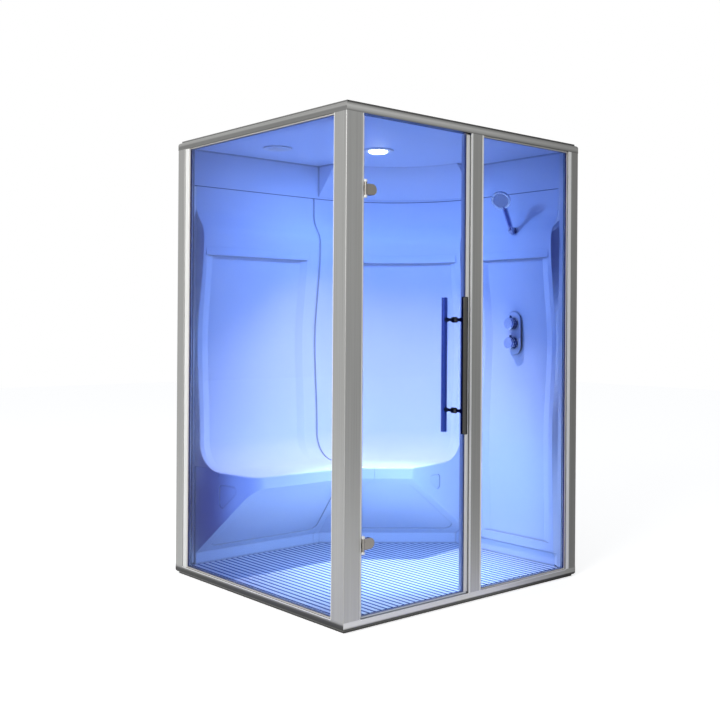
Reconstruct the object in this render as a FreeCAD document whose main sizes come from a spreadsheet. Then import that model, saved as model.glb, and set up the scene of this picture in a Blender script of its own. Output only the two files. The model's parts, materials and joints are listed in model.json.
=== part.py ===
import FreeCAD, Part
import Sketcher
import math
import operator
import os

# A steam room: an aluminium frame with a glass side, a glass front and a hinged glass door,
# lined with moulded acrylic walls, benches and ceiling over a slatted floor.
# Millimetres, +Z up, origin on the floor under the middle of the frame.
# The door faces -Y and the fixed glass side faces -X.

SHEET_NAME = "Sizes"

DRIVING_SIZES = {
    # whole cabin
    "overall_width": 1500,
    "overall_depth": 1300,
    "overall_height": 2140,
    "fit_clearance": 0.3,
    "cut_overrun": 20,
    # frame rails, the same hollow bar at the floor and at the ceiling
    "rail_height": 44,
    "rail_depth": 40,
    "rail_lip_height": 8,
    "rail_lip_inset": 13,
    "rail_round_radius": 12,
    "rail_wall": 2.5,
    "cleat_arm": 95,
    # posts and mullion
    "corner_post_width": 90,
    "corner_post_depth": 80,
    "side_post_width": 76,
    "rear_post_width": 64,
    "side_post_depth": 55,
    "mullion_width": 80,
    "mullion_depth": 60,
    "mullion_centre": 18,
    "post_wall": 3,
    "post_corner_radius": 3,
    "jamb_width": 31,
    "jamb_depth": 24,
    # fixed glazing
    "glass_thickness": 8,
    "glass_setback": 10,
    "glass_edge_gap": 1.5,
    "gasket_face": 5,
    "gasket_lip": 3,
    # floor
    "tray_rim_height": 40,
    "tray_rim_width": 12,
    "tray_floor": 12,
    "tray_corner_radius": 6,
    "drain_x": 40,
    "drain_y": -150,
    "drain_hole_radius": 45,
    "drain_bore_radius": 25,
    "drain_flange_radius": 60,
    "drain_flange_thickness": 3,
    "strainer_radius": 52,
    "strainer_thickness": 2.5,
    "strainer_hole_radius": 4,
    "strainer_hole_circle": 15,
    "grating_gap": 3,
    "grating_thickness": 20,
    "grating_foot_height": 10,
    "grating_foot_width": 30,
    "grating_pitch": 33,
    "groove_width": 5,
    "groove_depth": 15,
    # moulded walls and benches
    "wall_setback": 50,
    "shell_thickness": 8,
    "corner_radius": 600,
    "corner_flat": 34,
    "seam_gap": 1,
    "seam_groove_width": 12,
    "seam_groove_depth": 5,
    "seam_drop": 180,
    "curve_top_drop": 265,
    "shoulder_drop": 430,
    "shoulder_proud": 60,
    "waist_height": 1150,
    "waist_proud": 16,
    "lumbar_proud": 40,
    "cove_radius": 140,
    "seat_height": 515,
    "seat_depth": 428,
    "nosing_height": 58,
    "nosing_round": 9,
    "slant_run": 413,
    "slant_foot_height": 100,
    "left_cheek_back": 75,
    "left_cheek_front": 136,
    "corner_seat_left": 140,
    "corner_tip_right": 118,
    "corner_tip_front": 38,
    "right_cheek_back": 54,
    "recess_depth": 12,
    "recess_top_drop": 525,
    "recess_top_bevel": 38,
    "recess_bevel": 45,
    "back_recess_left": 99,
    "back_recess_right": 80,
    "right_recess_front": 98,
    "right_recess_rear": 100,
    "right_recess_foot": 45,
    "corner_recess_back_degrees": 11,
    "corner_recess_right_degrees": 8,
    "panel_depth": 4,
    "panel_margin": 42,
    "panel_round": 45,
    "bench_corner_round": 80,
    "bench_tip_round": 20,
    "cheek_margin": 55,
    "cheek_round": 22,
    "right_wall_front": 78,
    "right_skirting_height": 110,
    "right_skirting_proud": 14,
    "right_foot_proud": 25,
    # ceiling and roof
    "ceiling_drop": 35,
    "cove_rise": 12,
    "cove_reach": 145,
    "roof_cover_thickness": 6,
    "roof_cover_drop": 4,
    "cladding_thickness": 8,
    # ceiling lamp and vent
    "lamp_bezel_radius": 77,
    "lamp_bezel_thickness": 6,
    "lamp_glow_radius": 47.5,
    "lamp_glow_drop": 14,
    "lamp_glow_rim": 4,
    "lamp_wall": 2,
    "vent_from_left": 345,
    "vent_from_back": 360,
    "vent_radius": 70,
    "vent_thickness": 6,
    "vent_collar_radius": 49,
    "vent_bore_radius": 45,
    "vent_slot_width": 6,
    "vent_slot_length": 80,
    "vent_slot_pitch": 14,
    # steam outlet
    "steam_from_corner": 45,
    "steam_height": 200,
    "steam_pipe_radius": 14,
    "steam_bore_radius": 11,
    "steam_hood_radius": 32,
    "steam_hood_length": 30,
    "steam_slot_height": 8,
    # shower valve
    "valve_from_front": 347,
    "valve_height": 1200,
    "valve_plate_width": 90,
    "valve_plate_height": 220,
    "valve_plate_thickness": 8,
    "valve_body_margin": 6,
    "valve_front": 66,
    "valve_body_depth": 46,
    "valve_port_radius": 9.5,
    "valve_port_length": 16,
    "valve_port_spread": 150,
    "knob_spread": 101,
    "knob_radius": 31,
    "knob_length": 42,
    "knob_edge_bevel": 4,
    "knob_peg_radius": 4,
    "knob_peg_length": 10,
    "knob_stand_off": 1,
    "spindle_radius": 6,
    "spindle_length": 24,
    "running_clearance": 0.05,
    "riser_radius": 7.5,
    # shower head
    "shower_from_front": 325,
    "shower_drop": 380,
    "union_radius": 20,
    "union_tail": 18,
    "union_pivot_reach": 70,
    "union_lug_width": 12,
    "pivot_knuckle_radius": 12,
    "pivot_pin_radius": 4,
    "fork_cheek_width": 6,
    "arm_length": 176,
    "arm_root_radius": 10.5,
    "arm_top_radius": 12.5,
    "arm_lean_degrees": 26,
    "head_radius": 48,
    "head_thickness": 14,
    "head_back_radius": 26,
    "head_back_height": 12,
    "head_tilt_degrees": 102,
    "head_twist_degrees": 20,
    "spray_face_radius": 40,
    "spray_face_thickness": 4,
    # door, hinges and seals
    "door_hinge_gap": 12,
    "door_latch_gap": 6,
    "door_end_gap": 8,
    "door_seal_thickness": 10,
    "door_seal_gap": 1.5,
    "door_stop_width": 18,
    "door_stop_depth": 10,
    "hinge_axis_inset": 7,
    "hinge_axis_proud": 6,
    "hinge_low_height": 345,
    "hinge_high_drop": 306,
    "hinge_barrel_radius": 6,
    "hinge_barrel_height": 64,
    "hinge_middle_height": 22,
    "hinge_pin_radius": 3,
    "hinge_pin_head": 3,
    "hinge_leaf_thickness": 3,
    "hinge_leaf_width": 40,
    "clamp_width": 62,
    "clamp_height": 46,
    "clamp_thickness": 6,
    "clamp_edge_gap": 3,
    "clamp_screw_radius": 3,
    "clamp_screw_hole_radius": 5,
    # door pull
    "pull_from_edge": 82,
    "pull_centre_height": 1063,
    "pull_length": 600,
    "pull_radius": 14.5,
    "pull_end_bevel": 2,
    "pull_projection": 58,
    "pull_fixing_spread": 400,
    "pull_foot_radius": 13,
    "pull_foot_thickness": 7,
    "pull_neck_radius": 7,
    "pull_bolt_radius": 4,
    "pull_hole_radius": 7,
}

UP = FreeCAD.Vector(0, 0, 1)
ALONG_X = FreeCAD.Vector(1, 0, 0)
ALONG_Y = FreeCAD.Vector(0, 1, 0)
QUARTER_TURN = 90
FULL_TURN = 360

SIGNS = {"+": operator.add, "-": operator.sub, "*": operator.mul, "/": operator.truediv}

doc = FreeCAD.newDocument("steam_room")
sheet = doc.addObject("Spreadsheet::Sheet", SHEET_NAME)
nodes = []


class Size:
    """A length that knows its value and the sheet formula that gives it."""

    def __init__(self, value, formula):
        self.value = value
        self.formula = formula

    def __add__(self, other):
        return combine(self, "+", other)

    def __radd__(self, other):
        return combine(other, "+", self)

    def __sub__(self, other):
        return combine(self, "-", other)

    def __rsub__(self, other):
        return combine(other, "-", self)

    def __mul__(self, other):
        return combine(self, "*", other)

    def __rmul__(self, other):
        return combine(other, "*", self)

    def __truediv__(self, other):
        return combine(self, "/", other)

    def __neg__(self):
        return combine(0, "-", self)

    def __float__(self):
        return float(self.value)


def as_size(length):
    if isinstance(length, Size):
        return length
    return Size(float(length), repr(float(length)))


def combine(left, sign, right):
    left = as_size(left)
    right = as_size(right)
    value = SIGNS[sign](left.value, right.value)
    return Size(value, f"({left.formula} {sign} {right.formula})")


def smaller(first, second):
    return first if first.value < second.value else second


class SizeTable:
    """Every size of the sheet as an attribute; worked-out sizes become cells of their own."""

    def __init__(self):
        self.rows = 0

    def add_cell(self, name, content, value):
        self.rows += 1
        sheet.set(f"A{self.rows}", name)
        sheet.set(f"B{self.rows}", content)
        sheet.setAlias(f"B{self.rows}", name)
        setattr(self, name, Size(value, f"{SHEET_NAME}.{name}"))

    def drive(self, name, value):
        self.add_cell(name, str(value), float(value))

    def derive(self, name, length):
        self.add_cell(name, "=" + length.formula.replace(f"{SHEET_NAME}.", ""), length.value)

    def derive_root(self, name, square):
        plain = square.formula.replace(f"{SHEET_NAME}.", "")
        self.add_cell(name, f"=sqrt({plain})", math.sqrt(square.value))


size = SizeTable()
for size_name, size_value in DRIVING_SIZES.items():
    size.drive(size_name, size_value)

# Planes that many pieces share.
size.derive("half_width", size.overall_width / 2)
size.derive("half_depth", size.overall_depth / 2)
size.derive("opening_bottom", size.rail_height + 0)
size.derive("opening_top", size.overall_height - size.rail_height)
size.derive("inner_half_width", size.half_width - size.rail_depth)
size.derive("inner_half_depth", size.half_depth - size.rail_depth)
size.derive("corner_post_inner_x", size.corner_post_width - size.half_width)
size.derive("corner_post_inner_y", size.corner_post_depth - size.half_depth)
size.derive("mullion_left", size.mullion_centre - size.mullion_width / 2)
size.derive("mullion_right", size.mullion_centre + size.mullion_width / 2)
size.derive("right_post_inner_x", size.half_width - size.side_post_width)
size.derive("right_post_inner_y", size.side_post_depth - size.half_depth)
size.derive("rear_post_inner_y", size.half_depth - size.rear_post_width)
size.derive("rear_post_inner_x", size.side_post_depth - size.half_width)
size.derive("glass_front_face", size.glass_setback - size.half_depth)
size.derive("glass_front_back", size.glass_front_face + size.glass_thickness)
size.derive("wall_back_y", size.half_depth - size.wall_setback)
size.derive("wall_right_x", size.half_width - size.wall_setback)
size.derive("corner_x", size.wall_right_x - size.corner_radius)
size.derive("corner_y", size.wall_back_y - size.corner_radius)
size.derive("seam_x", size.corner_x - size.corner_flat)
size.derive("ceiling_height", size.overall_height - size.ceiling_drop)
size.derive("seam_height", size.ceiling_height - size.seam_drop)
size.derive("curve_top_height", size.ceiling_height - size.curve_top_drop)
size.derive("shoulder_height", size.ceiling_height - size.shoulder_drop)
size.derive("recess_top_height", size.ceiling_height - size.recess_top_drop)
size.derive("corner_seat_x", size.corner_x - size.corner_seat_left)
size.derive("corner_tip_x", size.corner_x + size.corner_tip_right)
size.derive("corner_tip_y", size.corner_y - size.corner_tip_front)
size.derive("right_cheek_back_y", size.corner_y + size.right_cheek_back)
size.derive("vent_x", size.vent_from_left - size.half_width)
size.derive("vent_y", size.half_depth - size.vent_from_back)
size.derive("steam_y", size.corner_y - size.steam_from_corner)
size.derive("valve_y", size.valve_from_front - size.half_depth)
size.derive("shower_y", size.shower_from_front - size.half_depth)
size.derive("shower_height", size.ceiling_height - size.shower_drop)
size.derive("cove_top_height", size.seat_height + size.cove_radius)
size.derive("nosing_foot", size.seat_height - size.nosing_height)
size.derive("seat_front_y", size.wall_back_y - size.seat_depth)
size.derive("skirting_y", size.seat_front_y + size.slant_run)
size.derive("tip_across", size.corner_tip_x - size.corner_seat_x)
size.derive("tip_forward", size.corner_tip_y - size.seat_front_y)
size.derive_root("tip_length", size.tip_across * size.tip_across + size.tip_forward * size.tip_forward)
size.derive("diagonal_x_share", size.tip_across / size.tip_length)
size.derive("diagonal_y_share", size.tip_forward / size.tip_length)
size.derive("diagonal_foot_x", size.corner_seat_x - size.slant_run * size.diagonal_y_share)
size.derive("diagonal_foot_y", size.seat_front_y + size.slant_run * size.diagonal_x_share)
size.derive("ceiling_top", size.ceiling_height + size.shell_thickness)
size.derive("roof_cover_bottom", size.overall_height - size.roof_cover_drop - size.roof_cover_thickness)
size.derive("cladding_back_face", size.half_depth - size.cladding_thickness)
size.derive("cladding_right_face", size.half_width - size.cladding_thickness)
size.derive("valve_front_x", size.half_width - size.valve_front)
size.derive("shower_pivot_x", size.wall_right_x - size.union_pivot_reach)
size.derive("hinge_x", size.corner_post_inner_x + size.hinge_axis_inset)
size.derive("hinge_y", -size.half_depth - size.hinge_axis_proud)
size.derive("door_left", size.corner_post_inner_x + size.door_hinge_gap)
size.derive("door_right", size.mullion_left - size.door_latch_gap)
size.derive("door_bottom", size.opening_bottom + size.door_end_gap)
size.derive("door_top", size.opening_top - size.door_end_gap)
size.derive("hinge_high_height", size.opening_top - size.hinge_high_drop)
size.derive("pull_x", size.door_right - size.pull_from_edge)
doc.recompute()


def bind(thing, path, length):
    thing.setExpression(path, as_size(length).formula)


def vector(x, y, z):
    return FreeCAD.Vector(float(x), float(y), float(z))


def place(thing, at, axis=UP, degrees=0):
    thing.Placement = FreeCAD.Placement(vector(*at), FreeCAD.Rotation(axis, float(degrees)))
    for letter, length in zip("xyz", at):
        bind(thing, f"Placement.Base.{letter}", length)
    return thing


def keep(thing, label):
    """Make a finished piece a node of the part."""
    thing.Label = label
    nodes.append(thing)
    return thing


# Sketch helpers

def new_body(name):
    return doc.addObject("PartDesign::Body", name)


def new_sketch(body, role, lift=0):
    sketch = body.newObject("Sketcher::SketchObject", f"{body.Name}_outline")
    plane = next(feature for feature in body.Origin.OriginFeatures if feature.Role == role)
    sketch.AttachmentSupport = [(plane, "")]
    sketch.MapMode = "FlatFace"
    sketch.AttachmentOffset = FreeCAD.Placement(vector(0, 0, lift), FreeCAD.Rotation())
    bind(sketch, "AttachmentOffset.Base.z", lift)
    return sketch


def fix_point(sketch, curve, end, across, up):
    for kind, axis, length in (("DistanceX", -2, across), ("DistanceY", -1, up)):
        if not isinstance(length, Size) and length == 0:
            sketch.addConstraint(Sketcher.Constraint("PointOnObject", curve, end, axis))
            continue
        index = sketch.addConstraint(Sketcher.Constraint(kind, curve, end, float(length)))
        bind(sketch, f"Constraints[{index}]", length)


def arc_through(start, end, radius, side):
    """A short arc from start to end with its centre on the left (side 1) or right (side -1)."""
    chord = end - start
    left = FreeCAD.Vector(-chord.y, chord.x, 0).normalize()
    rise = math.sqrt(max(radius ** 2 - (chord.Length / 2) ** 2, 0))
    centre = (start + end) * 0.5 + left * (side * rise)
    return Part.Arc(start, centre - left * (side * radius), end)


def end_at(sketch, curve, point):
    """Which end of a curve, 1 or 2, lies at a point."""
    return min((1, 2), key=lambda end: sketch.getPoint(curve, end).distanceToPoint(point))


def draw_loop(sketch, corners, arcs=None):
    """Draw a closed outline; arcs maps a corner's index to the radius and side of the arc after it."""
    arcs = arcs or {}
    points = [vector(x, y, 0) for x, y in corners]
    curves = []
    for index, start in enumerate(points):
        end = points[(index + 1) % len(points)]
        if index in arcs:
            radius, side = arcs[index]
            curve = sketch.addGeometry(arc_through(start, end, float(radius), side))
            limit = sketch.addConstraint(Sketcher.Constraint("Radius", curve, float(radius)))
            bind(sketch, f"Constraints[{limit}]", radius)
        else:
            curve = sketch.addGeometry(Part.LineSegment(start, end))
        curves.append(curve)
    for index, curve in enumerate(curves):
        point = points[index]
        before = curves[index - 1]
        start_end = end_at(sketch, curve, point)
        joined = Sketcher.Constraint("Coincident", before, end_at(sketch, before, point), curve, start_end)
        sketch.addConstraint(joined)
        fix_point(sketch, curve, start_end, *corners[index])


def draw_circle(sketch, across, up, radius):
    curve = sketch.addGeometry(Part.Circle(vector(across, up, 0), UP, float(radius)))
    limit = sketch.addConstraint(Sketcher.Constraint("Radius", curve, float(radius)))
    bind(sketch, f"Constraints[{limit}]", radius)
    fix_point(sketch, curve, 3, across, up)


def rectangle(left, bottom, right, top):
    return [(left, bottom), (right, bottom), (right, top), (left, top)]


def rounded_rectangle(left, bottom, right, top, radius):
    corners = [
        (left + radius, bottom), (right - radius, bottom), (right, bottom + radius), (right, top - radius),
        (right - radius, top), (left + radius, top), (left, top - radius), (left, bottom + radius),
    ]
    return corners, {index: (radius, 1) for index in (1, 3, 5, 7)}


def pad(body, sketch, length, symmetric=False, backwards=False):
    feature = body.newObject("PartDesign::Pad", f"{body.Name}_pad")
    feature.Profile = sketch
    feature.SideType = "Symmetric" if symmetric else "One side"
    feature.Reversed = backwards
    bind(feature, "Length", length)
    return feature


def pocket(body, sketch, length, symmetric=False, backwards=False):
    """Cut a sketch into the body and make sure that material really went away."""
    doc.recompute()
    before = body.Shape.Volume
    feature = body.newObject("PartDesign::Pocket", f"{body.Name}_pocket")
    feature.Profile = sketch
    feature.SideType = "Symmetric" if symmetric else "One side"
    feature.Reversed = backwards
    bind(feature, "Length", length)
    doc.recompute()
    if not body.Shape.Volume < before:
        raise ValueError(f"{body.Name}: the pocket cut nothing")
    return feature


def turned(name, corners, arcs=None):
    """A piece turned about its own Z axis from a half section of radius and height."""
    body = new_body(name)
    sketch = new_sketch(body, "XZ_Plane")
    draw_loop(sketch, corners, arcs)
    feature = body.newObject("PartDesign::Revolution", f"{name}_turn")
    feature.Profile = sketch
    feature.ReferenceAxis = (sketch, ["V_Axis"])
    feature.Angle = FULL_TURN
    return body


def extruded(name, role, loops, length, lift=0, symmetric=False, backwards=False):
    """A piece drawn once and drawn out; each loop is a list of corners or corners with arcs."""
    body = new_body(name)
    sketch = new_sketch(body, role, lift)
    for loop in loops:
        corners, arcs = loop if isinstance(loop, tuple) else (loop, None)
        draw_loop(sketch, corners, arcs)
    pad(body, sketch, length, symmetric, backwards)
    return body


# Solid helpers

def box(name, low, high):
    block = doc.addObject("Part::Box", name)
    for prop, start, end in zip(("Length", "Width", "Height"), low, high):
        bind(block, prop, end - start)
    return place(block, low)


def cylinder(name, at, radius, height, axis=UP, degrees=0):
    rod = doc.addObject("Part::Cylinder", name)
    bind(rod, "Radius", radius)
    bind(rod, "Height", height)
    return place(rod, at, axis, degrees)


def rod_along_x(name, at, radius, length):
    return cylinder(name, at, radius, length, ALONG_Y, QUARTER_TURN)


def rod_along_y(name, at, radius, length):
    return cylinder(name, at, radius, length, ALONG_X, -QUARTER_TURN)


def join(name, pieces):
    fused = doc.addObject("Part::MultiFuse", name)
    fused.Shapes = pieces
    return fused


def cut_away(name, base, tools):
    cut = doc.addObject("Part::Cut", name)
    cut.Base = base
    cut.Tool = tools[0] if len(tools) == 1 else join(f"{name}_tools", tools)
    return cut


def group(name, pieces):
    bundle = doc.addObject("Part::Compound", name)
    bundle.Links = pieces
    return bundle


# Frame

def rail_outline(upside_down):
    """Section of a rail: a flat face, a quarter round and a set-back lip; y runs into the cabin."""
    def level(height):
        return size.rail_height - height if upside_down else height + 0 * size.rail_height

    shoulder = size.rail_lip_height + size.rail_round_radius
    side = 1 if upside_down else -1
    outside = [
        (size.rail_depth, level(0)), (size.rail_lip_inset, level(0)),
        (size.rail_lip_inset, level(size.rail_lip_height)),
        (size.rail_round_radius, level(size.rail_lip_height)),
        (0, level(shoulder)), (0, level(size.rail_height)), (size.rail_depth, level(size.rail_height)),
    ]
    inner_face = size.rail_depth - size.rail_wall
    main_chamber = rectangle(size.rail_wall, level(shoulder),
                             inner_face, level(size.rail_height - size.rail_wall))
    foot_chamber = rectangle(size.rail_lip_inset + size.rail_wall, level(size.rail_wall),
                             inner_face, level(shoulder - size.rail_wall))
    return (outside, {3: (size.rail_round_radius, side)}), main_chamber, foot_chamber


def make_rail(label, length, at, turn, upside_down):
    body = extruded(label, "YZ_Plane", rail_outline(upside_down), length, symmetric=True)
    mitre = new_sketch(body, "XY_Plane")
    reach = size.rail_depth + size.cut_overrun
    for hand in (-1, 1):
        tip = hand * length / 2
        draw_loop(mitre, [
            (tip + hand * size.cut_overrun, -size.cut_overrun),
            (tip - hand * reach, reach),
            (tip + hand * size.cut_overrun, reach),
        ])
    pocket(body, mitre, 4 * size.rail_height, symmetric=True)
    keep(place(body, at, UP, turn), label)


def make_rails():
    for level_name, upside_down in (("bottom", False), ("top", True)):
        height = size.opening_top if upside_down else 0
        make_rail(f"rail_{level_name}_front", size.overall_width, (0, -size.half_depth, height),
                  0, upside_down)
        make_rail(f"rail_{level_name}_right", size.overall_depth, (size.half_width, 0, height),
                  QUARTER_TURN, upside_down)
        make_rail(f"rail_{level_name}_back", size.overall_width, (0, size.half_depth, height),
                  2 * QUARTER_TURN, upside_down)
        make_rail(f"rail_{level_name}_left", size.overall_depth, (-size.half_width, 0, height),
                  3 * QUARTER_TURN, upside_down)


def make_cleats():
    """Angle pieces inside the rails that pull each mitre together."""
    near = size.rail_wall + size.fit_clearance
    far = size.rail_depth - size.rail_wall - size.fit_clearance
    arm = size.cleat_arm
    outline = [(near, near), (arm, near), (arm, far), (far, far), (far, arm), (near, arm)]
    chamber_floor = size.rail_lip_height + size.rail_round_radius
    chamber_height = size.rail_height - size.rail_wall - chamber_floor
    thickness = chamber_height - 2 * size.fit_clearance
    corners = [(-1, -1, 0), (1, -1, 1), (1, 1, 2), (-1, 1, 3)]
    cleats = []
    top_chamber_floor = size.opening_top + size.rail_wall
    for bottom in (chamber_floor + size.fit_clearance, top_chamber_floor + size.fit_clearance):
        for across, along, turns in corners:
            body = extruded("corner_cleat", "XY_Plane", [outline], thickness)
            at = (across * size.half_width, along * size.half_depth, bottom)
            cleats.append(place(body, at, UP, turns * QUARTER_TURN))
    keep(group("cleat_group", cleats), "corner_cleats")


def make_post(label, at, width, depth):
    """A hollow post that stands between the rails."""
    inside = rectangle(size.post_wall, size.post_wall, width - size.post_wall, depth - size.post_wall)
    outside = rounded_rectangle(0, 0, width, depth, size.post_corner_radius)
    body = extruded(label, "XY_Plane", [outside, inside], size.opening_top - size.opening_bottom)
    keep(place(body, (at[0], at[1], size.opening_bottom)), label)


def make_posts():
    make_post("post_front_left", (-size.half_width, -size.half_depth),
              size.corner_post_width, size.corner_post_depth)
    make_post("post_front_right", (size.right_post_inner_x, -size.half_depth),
              size.side_post_width, size.side_post_depth)
    make_post("post_rear_left", (-size.half_width, size.rear_post_inner_y),
              size.side_post_depth, size.rear_post_width)
    make_post("post_rear_right", (size.right_post_inner_x, size.rear_post_inner_y),
              size.side_post_width, size.rear_post_width)
    make_post("mullion", (size.mullion_left, -size.half_depth), size.mullion_width, size.mullion_depth)
    make_post("jamb_left", (size.gasket_lip - size.half_width, size.rear_post_inner_y - size.jamb_width),
              size.jamb_depth, size.jamb_width)


# Fixed glazing

def make_fixed_pane(side, low, high, through):
    """A pane and the channel gasket round its edge; through is the axis across the glass."""
    edge = [0 if axis == through else 1 for axis in range(3)]
    lip = [1 - flag for flag in edge]
    glass_low = [value + flag * size.glass_edge_gap for value, flag in zip(low, edge)]
    glass_high = [value - flag * size.glass_edge_gap for value, flag in zip(high, edge)]
    pane = keep(box(f"pane_{side}", glass_low, glass_high), f"glass_{side}")
    outer = box(f"gasket_outer_{side}", [value - flag * size.gasket_lip for value, flag in zip(low, lip)],
                [value + flag * size.gasket_lip for value, flag in zip(high, lip)])
    reach = [flag * size.gasket_face - other * size.cut_overrun for flag, other in zip(edge, lip)]
    inner = box(f"gasket_inner_{side}", [value + inset for value, inset in zip(low, reach)],
                [value - inset for value, inset in zip(high, reach)])
    keep(cut_away(f"channel_{side}", outer, [inner, pane]), f"gasket_{side}")


def make_fixed_glazing():
    left_face = size.glass_setback - size.half_width
    make_fixed_pane("left", (left_face, size.corner_post_inner_y, size.opening_bottom),
                    (left_face + size.glass_thickness, size.rear_post_inner_y - size.jamb_width,
                     size.opening_top), 0)
    make_fixed_pane("front", (size.mullion_right, size.glass_front_face, size.opening_bottom),
                    (size.right_post_inner_x, size.glass_front_back, size.opening_top), 1)


# Floor

def make_tray():
    half_x = size.inner_half_width - size.fit_clearance
    half_y = size.inner_half_depth - size.fit_clearance
    body = extruded("tray", "XY_Plane",
                    [rounded_rectangle(-half_x, -half_y, half_x, half_y, size.tray_corner_radius)],
                    size.tray_rim_height)
    basin = new_sketch(body, "XY_Plane", size.tray_floor)
    inner_x = half_x - size.tray_rim_width
    inner_y = half_y - size.tray_rim_width
    draw_loop(basin, *rounded_rectangle(-inner_x, -inner_y, inner_x, inner_y, size.tray_corner_radius))
    pocket(body, basin, size.tray_rim_height, backwards=True)
    drain = new_sketch(body, "XY_Plane")
    draw_circle(drain, size.drain_x, size.drain_y, size.drain_hole_radius)
    pocket(body, drain, 2 * size.tray_rim_height, symmetric=True)
    keep(body, "base_tray")


def make_drain():
    flange_top = size.tray_floor + size.drain_flange_thickness
    spigot = size.drain_hole_radius - size.fit_clearance
    body = turned("drain_fitting", [
        (size.drain_bore_radius, 0), (spigot, 0), (spigot, size.tray_floor),
        (size.drain_flange_radius, size.tray_floor), (size.drain_flange_radius, flange_top),
        (size.drain_bore_radius, flange_top),
    ])
    keep(place(body, (size.drain_x, size.drain_y, 0)), "drain_body")
    strainer = new_body("strainer")
    disc = new_sketch(strainer, "XY_Plane")
    draw_circle(disc, 0, 0, size.strainer_radius)
    pad(strainer, disc, size.strainer_thickness)
    holes = new_sketch(strainer, "XY_Plane")
    draw_circle(holes, 0, 0, size.strainer_hole_radius)
    rings = ((1, 6), (2, 12))
    for ring, count in rings:
        for step in range(count):
            angle = 2 * math.pi * step / count
            reach = ring * size.strainer_hole_circle
            draw_circle(holes, reach * math.cos(angle), reach * math.sin(angle), size.strainer_hole_radius)
    pocket(strainer, holes, 4 * size.strainer_thickness, symmetric=True)
    keep(place(strainer, (size.drain_x, size.drain_y, flange_top)), "drain_strainer")


def make_grating():
    """Slatted floor: one board with grooves between its slats and three feet under it."""
    left = size.tray_rim_width + size.grating_gap - size.inner_half_width
    front = size.tray_rim_width + size.grating_gap - size.inner_half_depth
    right = size.wall_right_x - size.right_skirting_proud - size.grating_gap
    back = size.skirting_y - size.grating_gap
    slope = size.diagonal_y_share / size.diagonal_x_share
    edge_x = size.diagonal_foot_x + size.grating_gap * size.diagonal_y_share
    edge_y = size.diagonal_foot_y - size.grating_gap * size.diagonal_x_share
    board_bottom = size.tray_floor + size.grating_foot_height
    outline = [
        (left, front), (right, front), (right, edge_y + (right - edge_x) * slope),
        (edge_x + (back - edge_y) / slope, back), (left, back),
    ]
    body = extruded("grating", "XY_Plane", [outline], size.grating_thickness, lift=board_bottom)
    feet = new_sketch(body, "XY_Plane", size.tray_floor)
    foot_shares = (0.12, 0.5, 0.84)
    for share in foot_shares:
        foot_front = front + share * (edge_y - front)
        foot_back = foot_front + size.grating_foot_width
        foot_right = smaller(right, edge_x + (foot_back - edge_y) / slope)
        draw_loop(feet, rectangle(left, foot_front, foot_right, foot_back))
    pad(body, feet, size.grating_foot_height)
    groove = new_sketch(body, "XY_Plane", board_bottom + size.grating_thickness)
    first = left + size.grating_pitch
    draw_loop(groove, rectangle(first - size.groove_width, front - size.cut_overrun,
                                first, back + size.cut_overrun))
    first_groove = pocket(body, groove, size.groove_depth)
    pattern = body.newObject("PartDesign::LinearPattern", "slats")
    pattern.Originals = [first_groove]
    pattern.Direction = (groove, ["H_Axis"])
    pattern.Mode = "Spacing"
    bind(pattern, "Offset", size.grating_pitch)
    pattern.Occurrences = int(float(right - left) / float(size.grating_pitch))
    body.Tip = pattern
    keep(body, "floor_grating")


# Moulded walls and benches: each is a thin shell with the same wall section, given as the distance
# from the corner's axis and the height. The back wall draws it out along X, the corner turns it,
# and the right wall draws it out along Y.

def back_curve(shift):
    """The curved back of the wall from its top straight to the lumbar swell, moved outward by shift."""
    heights = (size.curve_top_height, size.shoulder_height, size.waist_height, size.cove_top_height)
    prouds = (0, size.shoulder_proud, size.waist_proud, size.lumbar_proud)
    points = [vector(0, size.corner_radius - proud + shift, height) for proud, height in zip(prouds, heights)]
    curve = Part.BSplineCurve()
    curve.interpolate(Points=points, Tangents=[-UP] * len(points), TangentFlags=[True] * len(points))
    return curve


def wall_reach(height):
    """Distance of the curved back's face from the corner's axis at a height, by halving."""
    curve = back_curve(0)
    above = curve.FirstParameter
    below = curve.LastParameter
    for _ in range(50):
        middle = (above + below) / 2
        if curve.value(middle).z > height:
            above = middle
        else:
            below = middle
    return curve.value(above).y


def line(start, end):
    return Part.makeLine(start, end)


def polyline(points):
    return [line(start, end) for start, end in zip(points, points[1:])]


def rounded_path(points, radii):
    """Edges along a row of points, with an arc of its own radius at each inner point, or none for zero."""
    edges = []
    leave = points[0]
    for before, corner, after, radius in zip(points, points[1:], points[2:], radii):
        back = (before - corner).normalize()
        onward = (after - corner).normalize()
        half_angle = back.getAngle(onward) / 2
        run = float(radius) / math.tan(half_angle)
        edges.append(line(leave, corner + back * run))
        leave = corner + onward * run
        if run > 0:
            inward = (back + onward).normalize()
            bulge = float(radius) / math.sin(half_angle) - float(radius)
            edges.append(Part.Arc(corner + back * run, corner + inward * bulge, leave).toShape())
    edges.append(line(leave, points[-1]))
    return edges


def rounded_face(points, radius):
    """A flat face with every corner rounded alike."""
    start = (points[0] + points[-1]) * 0.5
    return closed_face(rounded_path([start] + points + [start], [radius] * len(points)))


def wall_line(shift):
    """Edges of the wall section from the seam under the roof down to the top of the seat's cove."""
    top = vector(0, size.corner_radius + shift, size.seam_height)
    curve_top = vector(0, size.corner_radius + shift, size.curve_top_height)
    return [line(top, curve_top), back_curve(shift).toShape()]


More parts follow.
